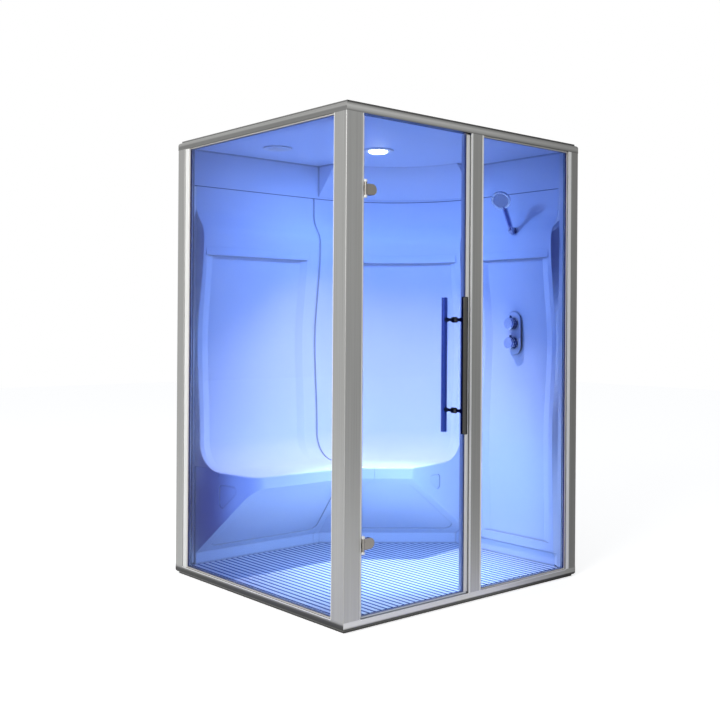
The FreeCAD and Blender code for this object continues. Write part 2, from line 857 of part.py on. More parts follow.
def cove_edges(shift):
    """The round from the wall into the seat, and the point on the seat where it ends."""
    radius = float(size.cove_radius + shift)
    reach = size.corner_radius - size.lumbar_proud
    centre = vector(0, reach - size.cove_radius, size.cove_top_height)
    wall_end = centre + vector(0, radius, 0)
    seat_end = centre - vector(0, 0, radius)
    middle = centre + vector(0, radius, -radius) * math.sqrt(0.5)
    return [Part.Arc(wall_end, middle, seat_end).toShape()], seat_end


def closed_face(*paths):
    """A face between edge paths that are given end to end."""
    edges = [edge for path in paths for edge in path]
    return Part.Face(Part.Wire(Part.__sortEdges__(edges)))


def between(outer, inner):
    """A face between two edge paths that start at the same end of a shell."""
    ends = []
    for pick in (0, -1):
        outer_point = chain_end(outer, pick)
        inner_point = chain_end(inner, pick)
        ends.append(line(outer_point, inner_point))
    return closed_face(outer, inner, ends)


def chain_end(path, pick):
    """First or last point of a path of edges."""
    if len(path) == 1:
        return path[0].Vertexes[pick].Point
    neighbour = path[1] if pick == 0 else path[-2]
    edge = path[pick]
    shared = [vertex.Point for vertex in neighbour.Vertexes]
    for vertex in edge.Vertexes:
        if all(vertex.Point.distanceToPoint(point) > edge.Length / 1000 for point in shared):
            return vertex.Point
    raise ValueError("the path does not run on")


def seat_back_face(shift_front, shift_back):
    front_cove = cove_edges(shift_front)[0]
    back_cove = cove_edges(shift_back)[0]
    return between(wall_line(shift_front) + front_cove, wall_line(shift_back) + back_cove)


def half_space(point, direction):
    """A large block on the side of a plane that direction points to."""
    reach = float(size.overall_height) * 2
    block = Part.makeBox(reach, reach, reach, FreeCAD.Vector(0, -reach / 2, -reach / 2))
    turn = FreeCAD.Rotation(ALONG_X, direction)
    block.Placement = FreeCAD.Placement(point, turn)
    return block


def spread(face, start, end):
    """Draw a section out from start to end."""
    moved = face.copy()
    moved.translate(start)
    return moved.extrude(end - start)


# Plan lines of the bench: each is a point and a direction, and can be drawn in towards the bench.

def square_to(direction):
    return FreeCAD.Vector(-direction.y, direction.x, 0)


def back_front_line(inset):
    return vector(size.corner_seat_x, size.seat_front_y + inset, 0), ALONG_X


def diagonal_line(inset):
    along = vector(size.diagonal_x_share, size.diagonal_y_share, 0)
    bend = vector(size.corner_seat_x, size.seat_front_y, 0)
    return bend + square_to(along) * float(inset), along


def left_cheek_line(inset):
    back = vector(size.left_cheek_back - size.half_width, size.wall_back_y, 0)
    front = vector(size.left_cheek_front - size.half_width, size.seat_front_y, 0)
    along = (back - front).normalize()
    return front - square_to(along) * float(inset), along


def right_cheek_line(inset):
    front = vector(size.corner_tip_x, size.corner_tip_y, 0)
    back = vector(size.wall_right_x, size.right_cheek_back_y, 0)
    along = (back - front).normalize()
    return front + square_to(along) * float(inset), along


def meet(first, second):
    """Where two plan lines cross."""
    start, along = first
    other, across = second
    normal = square_to(across)
    return start + along * ((other - start).dot(normal) / along.dot(normal))


def seat_outline(inset):
    """Plan of the seats inside their front edges and end cheeks, drawn in by inset, open at the walls."""
    far_back = (vector(0, size.half_depth, 0), ALONG_X)
    far_right = (vector(size.half_width, 0, 0), ALONG_Y)
    left = left_cheek_line(inset)
    front = back_front_line(inset)
    diagonal = diagonal_line(inset)
    right = right_cheek_line(inset)
    points = [meet(far_back, left), meet(left, front), meet(front, diagonal), meet(diagonal, right),
              meet(right, far_right)]
    radii = [size.bench_corner_round - inset, 0, size.bench_tip_round - inset]
    behind = polyline([points[-1], meet(far_right, far_back), points[0]])
    return closed_face(rounded_path(points, radii), behind)


def room_plan(reach):
    """Plan of the room up to a distance from the corner's axis, straight to the left and to the front."""
    axis = vector(size.corner_x, size.corner_y, 0)
    back_end = axis + ALONG_Y * reach
    right_end = axis + ALONG_X * reach
    middle = axis + (ALONG_X + ALONG_Y) * (reach * math.sqrt(0.5))
    corners = [back_end, vector(-size.overall_width, back_end.y, 0),
               vector(-size.overall_width, -size.overall_depth, 0),
               vector(right_end.x, -size.overall_depth, 0), right_end]
    return closed_face(polyline(corners), [Part.Arc(right_end, middle, back_end).toShape()])


def slant_slope():
    return float(size.nosing_foot - size.slant_foot_height) / float(size.slant_run)


def bench_profile(inset):
    """Section of a bench behind its slanted front and skirting; y runs back from its front edge."""
    slope = slant_slope()
    overrun = float(size.cut_overrun)
    lift = inset * (math.hypot(1, slope) - slope)
    top = float(size.seat_height) + overrun
    bottom = float(size.tray_floor) - 2 * inset
    skirting = float(size.slant_run) + inset
    far = float(size.overall_depth)
    points = [
        FreeCAD.Vector(0, inset - overrun, top),
        FreeCAD.Vector(0, inset - overrun, float(size.nosing_foot) + lift + overrun * slope),
        FreeCAD.Vector(0, skirting, float(size.slant_foot_height) + lift),
        FreeCAD.Vector(0, skirting, bottom),
        FreeCAD.Vector(0, far, bottom),
        FreeCAD.Vector(0, far, top),
    ]
    return closed_face(polyline(points + points[:1]))


def behind_slant(front_line, inset):
    """Everything behind a slanted front, on a run much longer than the bench."""
    start, along = front_line(0)
    long_run = along * float(size.overall_width)
    section = bench_profile(inset)
    section.Placement = FreeCAD.Placement(start - long_run, FreeCAD.Rotation(ALONG_X, along))
    return section.extrude(long_run * 2)


def bench_block(inset):
    """The bench under its seats as a full block, drawn in by inset."""
    overrun = vector(0, 0, size.cut_overrun)
    level = vector(0, 0, size.seat_height - inset)
    room = spread(room_plan(float(size.corner_radius) + inset), -2 * overrun, level + overrun)
    plan = spread(seat_outline(inset), -overrun, level).common(room)
    return plan.common(behind_slant(back_front_line, inset).fuse(behind_slant(diagonal_line, inset)))


def bench_front_shell():
    """Seats, nosing, slanted fronts and end cheeks as one shell, with a rounded front edge."""
    block = bench_block(0)
    level = float(size.seat_height)
    spare = float(size.fit_clearance)
    axis = vector(size.corner_x, size.corner_y, level)
    wall = float(size.corner_radius) - spare
    front_edges = []
    for edge in block.Edges:
        middle = edge.valueAt((edge.FirstParameter + edge.LastParameter) / 2) - axis
        on_top = all(abs(vertex.Z - level) < spare for vertex in edge.Vertexes)
        at_corner = middle.x > 0 and middle.y > 0 and middle.Length > wall
        if on_top and max(middle.x, middle.y) < wall and not at_corner:
            front_edges.append(edge)
    softened = block.makeFillet(float(size.nosing_round), front_edges)
    shell = softened.cut(bench_block(float(size.shell_thickness)))
    cove_start = float(size.corner_radius - size.lumbar_proud - size.cove_radius)
    under_lid = vector(0, 0, size.seat_height - size.shell_thickness)
    over_lid = vector(0, 0, size.seat_height + size.cut_overrun)
    lid = spread(room_plan(2 * float(size.corner_radius)), under_lid, over_lid)
    return shell.cut(lid.cut(spread(room_plan(cove_start), under_lid, over_lid)))


def slant_panel(front_line, left_line, right_line):
    """A shallow panel in a slanted front, kept off its edges and the lines that end it."""
    run_share = 1 / math.hypot(1, slant_slope())
    margin = float(size.panel_margin)
    upper = margin * run_share
    lower = float(size.slant_run) - upper
    along = front_line(0)[1]
    corners = []
    for back, end_line, hand in ((upper, left_line, 1), (lower, left_line, 1),
                                 (lower, right_line, -1), (upper, right_line, -1)):
        corner = meet(front_line(back), end_line) + along * (hand * margin)
        corners.append(corner + UP * (float(size.nosing_foot) - back * slant_slope()))
    inward = square_to(along) * (slant_slope() * run_share) + UP * run_share
    face = rounded_face(corners, size.panel_round)
    depth = inward * float(size.panel_depth)
    face.translate(-depth)
    return face.extrude(depth * 2)


def cheek_panel(cheek_line, front_line, hand):
    """A shallow three-sided panel in an end cheek, between the seat and the slanted front."""
    front, along = cheek_line(0)
    fall = slant_slope() * along.dot(square_to(front_line(0)[1]))
    margin = float(size.cheek_margin)
    start = margin * math.hypot(1, fall) / fall
    reach = float(size.seat_depth - size.lumbar_proud - size.cove_radius)
    top = float(size.nosing_foot)

    def spot(distance, height):
        return front + along * distance + UP * height

    corners = [spot(start, top), spot(reach, top), spot(reach, top - (reach - start) * fall)]
    inward = square_to(along) * (hand * float(size.panel_depth))
    face = rounded_face(corners, size.cheek_round)
    face.translate(-inward)
    return face.extrude(inward * 2)


def bench_solid():
    """The whole run of bench and curved back as one shell, before it is parted at its seams."""
    axis = vector(size.corner_x, size.corner_y, 0)
    section = seat_back_face(0, float(size.shell_thickness))
    straight_back = spread(section, vector(-size.half_width, size.corner_y, 0), axis)
    section.translate(axis)
    turned_back = section.revolve(axis, UP, -QUARTER_TURN)
    return straight_back.fuse([turned_back, bench_front_shell()])


def left_cheek():
    """The upright end behind the back bench: the filled wall section along a slightly turned plane."""
    front, direction = left_cheek_line(0)
    cove, seat_end = cove_edges(0)
    back_bottom = vector(0, size.corner_radius + size.shell_thickness, size.tray_floor)
    back_top = vector(0, size.corner_radius + size.shell_thickness, size.seam_height)
    outline = wall_line(0) + cove + polyline([
        seat_end, FreeCAD.Vector(0, seat_end.y, float(size.tray_floor)), back_bottom, back_top,
        vector(0, size.corner_radius, size.seam_height)])
    solid = spread(closed_face(outline), vector(-size.half_width, size.corner_y, 0),
                   vector(size.seam_x, size.corner_y, 0))
    side = square_to(direction)
    slab = half_space(front, -side).common(half_space(front - side * float(size.shell_thickness), side))
    return solid.common(slab).common(behind_slant(back_front_line, 0))


def right_cheek():
    """The upright end of the corner bench, a tapering panel from the seat down to the wall."""
    front, direction = right_cheek_line(0)
    lean = abs(direction.dot(square_to(diagonal_line(0)[1])))
    reach = float(size.wall_right_x - size.corner_tip_x) / direction.x
    cove_out = reach - float(size.lumbar_proud) / direction.x
    cove_in = cove_out - float(size.cove_radius) / direction.x

    def foot(distance):
        return float(size.nosing_foot) - distance * lean * slant_slope()

    def spot(distance, height):
        return front + direction * distance + UP * float(height)

    middle_share = 1 - math.sqrt(0.5)
    middle = spot(cove_out - (cove_out - cove_in) * middle_share,
                  float(size.seat_height) + float(size.cove_radius) * middle_share)
    edges = polyline([spot(cove_in, size.seat_height), spot(cove_in, foot(cove_in)), spot(reach, foot(reach)),
                      spot(reach, size.cove_top_height), spot(cove_out, size.cove_top_height)])
    bend = Part.Arc(spot(cove_out, size.cove_top_height), middle, spot(cove_in, size.seat_height))
    edges.append(bend.toShape())
    return closed_face(edges).extrude(square_to(direction) * float(size.shell_thickness))


# Sunk fields: the wall section between two depths, below a sloping top, with sloping ends.

def below_top_bevel():
    """Everything below the slope that a field's top edge follows."""
    inner_top = float(size.recess_top_height)
    outer_top = float(size.recess_top_height + size.recess_top_bevel)
    inner = FreeCAD.Vector(0, wall_reach(inner_top) + float(size.recess_depth), inner_top)
    outer = FreeCAD.Vector(0, wall_reach(outer_top), outer_top)
    rise = (outer - inner).normalize() * float(size.corner_radius)
    far = float(size.overall_height)
    points = [inner + rise, inner - rise, FreeCAD.Vector(0, far, -far), FreeCAD.Vector(0, -far, -far)]
    face = closed_face(polyline(points + points[:1]))
    return spread(face, ALONG_X * -far, ALONG_X * far)


FADE_SHARE = 1 / 8
ROUND_SHARE = 0.5523


def field_cove(shift):
    """The field's path through the cove: it fades out where the seat begins."""
    reach = size.corner_radius - size.lumbar_proud
    start = vector(0, reach + shift, size.cove_top_height)
    lift = max(-shift, FADE_SHARE * float(size.recess_depth))
    end = vector(0, reach - size.cove_radius, size.seat_height + lift)
    bend = Part.BezierCurve()
    bend.setPoles([start, start + FreeCAD.Vector(0, 0, end.z - start.z) * ROUND_SHARE,
                   end + FreeCAD.Vector(0, start.y - end.y, 0) * ROUND_SHARE, end])
    return [bend.toShape()]


def seat_field(front, back):
    """Section of a field that runs down the curved back and fades out in the seat's cove."""
    return between(wall_line(front) + field_cove(front), wall_line(back) + field_cove(back))


def field_sections(section, behind):
    """Three sections of a field: where its end slope meets the wall, at full depth, and behind it."""
    depth = float(size.recess_depth)
    thickness = float(size.shell_thickness)
    limit = below_top_bevel()
    backing_top = size.recess_top_height + size.recess_top_bevel
    shallow = section(-depth, -FADE_SHARE * depth).common(limit)
    deep = section(-depth, depth).common(limit)
    backing = behind(thickness, thickness + depth).common(half_space(vector(0, 0, backing_top), -UP))
    return shallow.Faces[0], deep.Faces[0], backing.Faces[0]


def sink_field(shell, sections, moved, start, end, bevel, carried):
    """Back up a field behind the shell, then sink it with sloping ends.

    moved puts a section at a station between start and end, and carried draws it from one station to another.
    """
    shallow, deep, backing = sections
    backed = shell.fuse(carried(backing, start, end))
    cutters = [carried(deep, start + bevel, end - bevel)]
    for station, inner in ((start, start + bevel), (end, end - bevel)):
        wires = [moved(shallow, station).OuterWire, moved(deep, inner).OuterWire]
        cutters.append(Part.makeLoft(wires, True, True))
    return backed.cut(cutters)


def tray_rim_space():
    """The space that the tray's raised rim takes, with its clearance."""
    top = float(size.tray_rim_height + size.fit_clearance)
    outer = vector(size.inner_half_width, size.inner_half_depth, 0)
    rim = float(size.tray_rim_width + 2 * size.fit_clearance)
    inner = outer - FreeCAD.Vector(rim, rim, 0)
    block = Part.makeBox(2 * outer.x, 2 * outer.y, top, -outer)
    return block.cut(Part.makeBox(2 * inner.x, 2 * inner.y, top, -inner))


def add_moulding(label, shape):
    piece = doc.addObject("Part::Feature", label)
    piece.Shape = shape.removeSplitter()
    keep(piece, label)


def make_bench_walls():
    axis = vector(size.corner_x, size.corner_y, 0)
    shell = bench_solid()
    half_gap = float(size.seam_gap) / 2
    seam = vector(size.seam_x, 0, 0)
    groove_half = float(size.seam_groove_width) / 2
    groove = spread(seat_back_face(-float(size.seam_groove_depth), float(size.seam_groove_depth)),
                    vector(size.seam_x - groove_half, size.corner_y, 0),
                    vector(size.seam_x + groove_half, size.corner_y, 0))
    mitre_foot = meet(back_front_line(size.slant_run), diagonal_line(size.slant_run))
    bend = diagonal_line(0)[0]
    mitre = (bend, (mitre_foot - bend).normalize())
    slant_panels = [slant_panel(back_front_line, left_cheek_line(0), mitre),
                    slant_panel(diagonal_line, mitre, right_cheek_line(0))]

    def at_x(section, x):
        copy = section.copy()
        copy.translate(FreeCAD.Vector(x, axis.y, 0))
        return copy

    def along_x(section, start, end):
        return at_x(section, start).extrude(ALONG_X * (end - start))

    sections = field_sections(seat_field, seat_back_face)
    front, direction = left_cheek_line(0)
    back = shell.common(half_space(seam - ALONG_X * half_gap, -ALONG_X))
    back = back.common(half_space(front, -square_to(direction)))
    back = sink_field(back, sections, at_x, float(size.back_recess_left - size.half_width),
                      float(size.seam_x - size.back_recess_right), float(size.recess_bevel), along_x)
    cheek_recess = cheek_panel(left_cheek_line, back_front_line, -1)
    back = back.fuse(left_cheek()).cut([groove, tray_rim_space(), cheek_recess] + slant_panels)
    add_moulding("wall_back", back)

    def at_angle(section, degrees):
        copy = section.copy()
        copy.translate(axis)
        copy.rotate(axis, UP, -degrees)
        return copy

    def round_corner(section, start, end):
        return at_angle(section, start).revolve(axis, UP, start - end)

    tip, cheek_direction = right_cheek_line(0)
    corner = shell.common(half_space(seam + ALONG_X * half_gap, ALONG_X))
    corner = corner.common(half_space(tip, square_to(cheek_direction)))
    corner = sink_field(corner, sections, at_angle, float(size.corner_recess_back_degrees),
                        QUARTER_TURN - float(size.corner_recess_right_degrees),
                        math.degrees(float(size.recess_bevel) / float(size.corner_radius)), round_corner)
    cheek_recess = cheek_panel(right_cheek_line, diagonal_line, 1)
    corner = corner.fuse(right_cheek()).cut([groove, tray_rim_space(), cheek_recess] + slant_panels)
    add_moulding("wall_corner", corner)


def right_wall_section(depth_from, depth_to):
    """The wall section without a seat: it runs down to a skirting that stands on the tray."""
    paths = []
    for shift in (depth_from, depth_to):
        step_height = size.right_skirting_height + shift
        lumbar = vector(0, size.corner_radius - size.lumbar_proud + shift, size.cove_top_height)
        foot = vector(0, size.corner_radius - size.right_foot_proud + shift, step_height)
        skirting_y = size.corner_radius - size.right_skirting_proud + shift
        step = vector(0, skirting_y, step_height)
        bottom = vector(0, skirting_y, size.tray_floor)
        paths.append(wall_line(shift) + polyline([lumbar, foot, step, bottom]))
    return between(*paths)


def make_right_wall():
    axis = vector(size.corner_x, size.corner_y, 0)
    turn = FreeCAD.Placement(axis, FreeCAD.Rotation(UP, -QUARTER_TURN))
    thickness = float(size.shell_thickness)
    front_y = float(size.right_wall_front - size.half_depth)
    rear_y = float(size.right_cheek_back_y + size.cut_overrun)

    def at_y(section, y):
        copy = section.copy()
        copy.Placement = turn
        copy.translate(FreeCAD.Vector(0, y - axis.y, 0))
        return copy

    def along_y(section, start, end):
        return at_y(section, start).extrude(ALONG_Y * (end - start))

    field_foot = size.right_skirting_height + size.right_recess_foot

    def field_section(front, back):
        return right_wall_section(front, back).common(half_space(vector(0, 0, field_foot), UP))

    def field_back(front, back):
        below_foot = vector(0, 0, field_foot - size.recess_depth)
        return right_wall_section(front, back).common(half_space(below_foot, UP))

    tip, direction = right_cheek_line(0)
    shell = along_y(right_wall_section(0, thickness), front_y, rear_y)
    flank_fill = right_wall_section(0, float(size.right_foot_proud + size.shell_thickness))
    flank = along_y(flank_fill, front_y, front_y + thickness)
    limit = Part.makeBox(float(size.overall_width), float(size.overall_depth), float(size.seam_height),
                         vector(size.wall_right_x + size.shell_thickness - size.overall_width,
                                -size.half_depth, 0))
    flange = Part.makeBox(thickness, front_y + thickness - float(size.right_post_inner_y),
                          float(size.seam_height - size.tray_rim_height),
                          vector(size.wall_right_x, size.right_post_inner_y, size.tray_rim_height))
    wall = shell.fuse([flank.common(limit), flange])
    wall = sink_field(wall, field_sections(field_section, field_back), at_y,
                      float(size.right_recess_front - size.half_depth),
                      float(size.corner_y - size.right_recess_rear), float(size.recess_bevel), along_y)
    wall = wall.common(half_space(tip - square_to(direction) * float(size.seam_gap), -square_to(direction)))
    holes = [through_wall(size.steam_y, size.steam_height, size.steam_pipe_radius),
             through_wall(size.shower_y, size.shower_height, size.union_radius),
             valve_opening(), tray_rim_space()]
    add_moulding("wall_right", wall.cut(holes))


def through_wall(y, height, radius):
    reach = float(size.half_width)
    start = vector(0, y, height) + ALONG_X * (reach / 2)
    return Part.makeCylinder(float(radius + size.fit_clearance), reach, start, ALONG_X)


def valve_opening():
    half = float(size.valve_plate_width / 2 - size.valve_body_margin + size.fit_clearance)
    straight = float(size.valve_plate_height - size.valve_plate_width)
    reach = float(size.half_width)
    centre = vector(reach / 2, size.valve_y, size.valve_height)
    ends = [Part.makeCylinder(half, reach, centre + UP * (hand * straight / 2), ALONG_X) for hand in (-1, 1)]
    middle = Part.makeBox(reach, 2 * half, straight, centre - ALONG_Y * half - UP * (straight / 2))
    return middle.fuse(ends)


# Ceiling, roof and outer panels

def make_roof_liner():
    """Inverted moulding: flat ceiling, upright bands on the walls and a sloping cove in the corner."""
    axis = vector(size.corner_x, size.corner_y, 0)
    thickness = float(size.shell_thickness)
    outer = float(size.corner_radius + size.shell_thickness)
    front = float(size.fit_clearance - size.inner_half_depth)
    left = float(size.fit_clearance - size.inner_half_width)
    level = float(size.ceiling_height)

    def at_ceiling(x, y):
        return FreeCAD.Vector(x, y, level)

    back_end = at_ceiling(axis.x, axis.y + outer)
    right_end = at_ceiling(axis.x + outer, axis.y)
    middle = at_ceiling(axis.x, axis.y) + (ALONG_X + ALONG_Y) * (outer * math.sqrt(0.5))
    edges = polyline([back_end, at_ceiling(left, back_end.y), at_ceiling(left, front),
                      at_ceiling(right_end.x, front), right_end])
    edges.append(Part.Arc(right_end, middle, back_end).toShape())
    ceiling = Part.Face(Part.Wire(Part.__sortEdges__(edges))).extrude(UP * thickness)
    band_height = float(size.ceiling_top - size.seam_height)
    band_left = float(size.rear_post_inner_x + size.fit_clearance)
    band_front = float(size.right_post_inner_y + size.fit_clearance)
    back_band = Part.makeBox(axis.x - band_left, thickness, band_height,
                             vector(band_left, size.wall_back_y, size.seam_height))
    right_band = Part.makeBox(thickness, axis.y - band_front, band_height,
                              vector(size.wall_right_x, band_front, size.seam_height))
    inner = float(size.corner_radius)
    cove_start = float(size.seam_height + size.cove_rise)
    cove_end = inner - float(size.cove_reach)
    cove_points = [FreeCAD.Vector(0, radius, height) for radius, height in (
        (inner, float(size.seam_height)), (outer, float(size.seam_height)), (outer, cove_start),
        (cove_end + thickness, float(size.ceiling_top)), (cove_end, float(size.ceiling_top)),
        (inner, cove_start))]
    cove = Part.Face(Part.makePolygon(cove_points + cove_points[:1]))
    gusset_points = cove_points[:3] + [FreeCAD.Vector(0, outer, float(size.ceiling_top))] + cove_points[4:]
    gusset = Part.Face(Part.makePolygon(gusset_points + gusset_points[:1]))
    cove.translate(axis)
    gusset.translate(axis)
    end_sweep = math.degrees(thickness / outer)
    right_gusset = gusset.copy()
    right_gusset.rotate(axis, UP, end_sweep - QUARTER_TURN)
    shape = ceiling.fuse([back_band, right_band, cove.revolve(axis, UP, -QUARTER_TURN),
                          gusset.revolve(axis, UP, -end_sweep), right_gusset.revolve(axis, UP, -end_sweep)])
    holes = []
    for x, y, radius in ((0, 0, size.lamp_glow_radius), (size.vent_x, size.vent_y, size.vent_collar_radius)):
        low_end = vector(x, y, size.ceiling_height / 2)
        hole_radius = float(radius + size.fit_clearance)
        holes.append(Part.makeCylinder(hole_radius, float(size.ceiling_height), low_end))
    add_moulding("roof_liner", shape.cut(holes))


def boards(name, spans, depth_axis, depth):
    """Flat boards that share a thickness along one axis; a span gives the low and high corner across it."""
    pieces = []
    for number, (low, high) in enumerate(spans):
        corners = []
        for corner, level in ((low, depth[0]), (high, depth[1])):
            place_in_space = list(corner)
            place_in_space.insert(depth_axis, level)
            corners.append(tuple(place_in_space))
        pieces.append(box(f"{name}_{number}", *corners))
    return pieces


def make_outer_panels():
    """Roof boards round the air duct, one panel at the back, boards round the water pipes at the right."""
    side = size.inner_half_width - size.fit_clearance
    front = size.inner_half_depth - size.fit_clearance
    duct = size.vent_collar_radius
    duct_left = size.vent_x - duct
    duct_right = size.vent_x + duct
    roof = boards("roof_board", [
        ((-side, -front), (duct_left, front)), ((duct_right, -front), (side, front)),
        ((duct_left, -front), (duct_right, size.vent_y - duct)),
        ((duct_left, size.vent_y + duct), (duct_right, front)),
    ], 2, (size.roof_cover_bottom, size.roof_cover_bottom + size.roof_cover_thickness))
    keep(group("roof_boards", roof), "roof_cover")
    keep(box("back_panel", (size.rear_post_inner_x, size.cladding_back_face, size.opening_bottom),
             (size.right_post_inner_x, size.half_depth, size.opening_top)), "cladding_back")
    port = 2 * size.valve_port_radius
    port_front = size.valve_y - port
    port_rear = size.valve_y + port
    low_port = size.valve_height - size.valve_port_spread / 2
    high_port = size.valve_height + size.valve_port_spread / 2
    strip_levels = [(size.opening_bottom, low_port - port), (low_port + port, high_port - port),
                    (high_port + port, size.opening_top)]
    spans = [((size.right_post_inner_y, size.opening_bottom), (port_front, size.opening_top))]
    spans += [((port_front, low), (port_rear, high)) for low, high in strip_levels]
    panel_depth = (size.cladding_right_face, size.half_width)
    strips = boards("side_board", spans, 0, panel_depth)
    rear_board = box("rear_board", (size.cladding_right_face, port_rear, size.opening_bottom),
                     (size.half_width, size.rear_post_inner_y, size.opening_top))
    hole_start = size.cladding_right_face - size.cut_overrun
    steam_hole = rod_along_x("steam_hole", (hole_start, size.steam_y, size.steam_height),
                             size.steam_pipe_radius + size.fit_clearance,
                             2 * size.cut_overrun + size.cladding_thickness)
    strips.append(cut_away("rear_board_cut", rear_board, [steam_hole]))
    keep(group("side_boards", strips), "cladding_right")


# Lamp and vent

def make_lamp():
    glow = size.lamp_glow_radius
    rim = size.lamp_bezel_thickness
    bezel = turned("bezel", [
        (glow + size.fit_clearance, 0), (glow + size.fit_clearance, -rim),
        (size.lamp_bezel_radius - rim, -rim), (size.lamp_bezel_radius, 0),
    ], {2: (rim, 1)})
    keep(place(bezel, (0, 0, size.ceiling_height)), "lamp_bezel")
    drop = size.lamp_glow_drop
    lens = turned("lens", [(0, 0), (0, -drop), (glow - drop + size.lamp_glow_rim, -drop),
                           (glow, -size.lamp_glow_rim), (glow, 0)],
                  {2: (drop - size.lamp_glow_rim, 1)})
    keep(place(lens, (0, 0, size.ceiling_height)), "lamp_diffuser")
    inner = glow - size.lamp_wall
    height = size.roof_cover_bottom - size.ceiling_height - size.fit_clearance
    can = turned("can", [(0, height), (0, height - size.lamp_wall), (inner, height - size.lamp_wall),
                         (inner, 0), (glow, 0), (glow, height)])
    keep(place(can, (0, 0, size.ceiling_height)), "lamp_housing")
    board = turned("board", rectangle(0, 0, inner - size.fit_clearance, size.lamp_wall))
    keep(place(board, (0, 0, size.ceiling_height)), "lamp_led_board")


def make_vent():
    body = new_body("grille")
    disc = new_sketch(body, "XY_Plane")
    draw_circle(disc, 0, 0, size.vent_radius)
    pad(body, disc, size.vent_thickness, backwards=True)
    slots = new_sketch(body, "XY_Plane")
    count = 5
    for step in range(count):
        middle = (step - (count - 1) / 2) * size.vent_slot_pitch
        half = size.vent_slot_width / 2
        reach = size.vent_slot_length / 2
        draw_loop(slots, rectangle(-reach, middle - half, reach, middle + half))
    pocket(body, slots, 4 * size.vent_thickness, symmetric=True)
    keep(place(body, (size.vent_x, size.vent_y, size.ceiling_height)), "vent_grille")
    height = size.roof_cover_bottom - size.ceiling_height - size.fit_clearance
    collar = turned("collar", rectangle(size.vent_bore_radius, 0, size.vent_collar_radius, height))
    keep(place(collar, (size.vent_x, size.vent_y, size.ceiling_height)), "vent_collar")


# Steam outlet

def make_steam_outlet():
    front = size.wall_right_x - size.lumbar_proud - size.steam_hood_length
    pipe = turned("pipe", rectangle(size.steam_bore_radius, 0, size.steam_pipe_radius,
                                    size.half_width - front - size.lamp_wall))
    pipe_end = (front + size.lamp_wall, size.steam_y, size.steam_height)
    keep(place(pipe, pipe_end, ALONG_Y, QUARTER_TURN), "steam_pipe")
    hood = turned("hood", [
        (0, 0), (size.steam_pipe_radius, 0),
        (size.steam_hood_radius, size.steam_hood_radius - size.steam_pipe_radius),
        (size.steam_hood_radius, size.steam_hood_length + size.lamp_wall),
        (size.steam_pipe_radius + size.fit_clearance, size.steam_hood_length + size.lamp_wall),
        (size.steam_pipe_radius + size.fit_clearance, size.lamp_wall), (0, size.lamp_wall),
    ])
    slot = new_sketch(hood, "XZ_Plane")
    draw_loop(slot, rectangle(size.steam_pipe_radius / 2, -size.cut_overrun, size.steam_bore_radius,
                              size.lamp_wall + size.cut_overrun))
    pocket(hood, slot, size.steam_slot_height, symmetric=True)
    keep(place(hood, (front, size.steam_y, size.steam_height), ALONG_Y, QUARTER_TURN), "steam_nozzle")


# Shower valve and head

def stadium(name, width, height, thickness, at):
    """A plate with round ends, standing upright against a wall that faces -X."""
    half = width / 2
    straight = (height - width) / 2
    corners = [(half, -straight), (half, straight), (0, straight + half),
               (-half, straight), (-half, -straight), (0, -straight - half)]
    arcs = {1: (half, 1), 2: (half, 1), 4: (half, 1), 5: (half, 1)}
    body = extruded(name, "YZ_Plane", [(corners, arcs)], thickness)
    return place(body, at)


def make_valve():
    front = size.valve_front_x
    back = front + size.valve_body_depth
    body = stadium("valve_block", size.valve_plate_width - 2 * size.valve_body_margin,
                   size.valve_plate_height - 2 * size.valve_body_margin, size.valve_body_depth,
                   (front, size.valve_y, size.valve_height))
    ports = new_sketch(body, "YZ_Plane", size.valve_body_depth)
    for hand in (-1, 1):
        draw_circle(ports, 0, hand * size.valve_port_spread / 2, size.valve_port_radius)
    pocket(body, ports, size.valve_port_length)
    bore = size.spindle_radius + size.running_clearance
    spindles = new_sketch(body, "YZ_Plane")
    for hand in (-1, 1):
        draw_circle(spindles, 0, hand * size.knob_spread / 2, bore)
    pocket(body, spindles, size.spindle_length, backwards=True)
    keep(body, "valve_body")
    plate = stadium("valve_cover", size.valve_plate_width, size.valve_plate_height,
                    size.valve_plate_thickness,
                    (front - size.valve_plate_thickness, size.valve_y, size.valve_height))
    holes = new_sketch(plate, "YZ_Plane")
    for hand in (-1, 1):
        draw_circle(holes, 0, hand * size.knob_spread / 2, bore)
    pocket(plate, holes, 4 * size.valve_plate_thickness, symmetric=True)
    keep(plate, "valve_plate")
    for label, hand in (("knob_lower", -1), ("knob_upper", 1)):
        make_knob(label, size.valve_height + hand * size.knob_spread / 2)
    riser_x = (size.wall_right_x + size.shell_thickness + size.cladding_right_face) / 2
    riser_start = size.valve_height + size.valve_plate_height / 2 - size.valve_body_margin
    riser_end = size.shower_height - size.union_tail
    pipe = cylinder("riser", (riser_x, size.valve_y, riser_start), size.riser_radius, riser_end - riser_start)
    keep(pipe, "shower_riser")


def make_knob(label, height):
    """A round knob with a peg on its rim and the spindle that it turns."""
    bevel = size.knob_edge_bevel
    reach = size.knob_stand_off + size.spindle_length
    body = turned(f"{label}_turned", [
        (0, size.knob_length), (0, -reach), (size.spindle_radius, -reach), (size.spindle_radius, 0),
        (size.knob_radius, 0), (size.knob_radius, size.knob_length - bevel),
        (size.knob_radius - bevel, size.knob_length),
    ])
    peg = new_sketch(body, "XY_Plane", size.knob_length / 2 - size.knob_peg_radius)
    half = size.knob_peg_radius
    draw_loop(peg, rectangle(size.knob_radius - size.knob_peg_radius, -half,
                             size.knob_radius + size.knob_peg_length, half))
    pad(body, peg, 2 * size.knob_peg_radius)
    face = size.valve_front_x - size.valve_plate_thickness - size.knob_stand_off
    keep(place(body, (face, size.valve_y, height), ALONG_Y, -QUARTER_TURN), label)


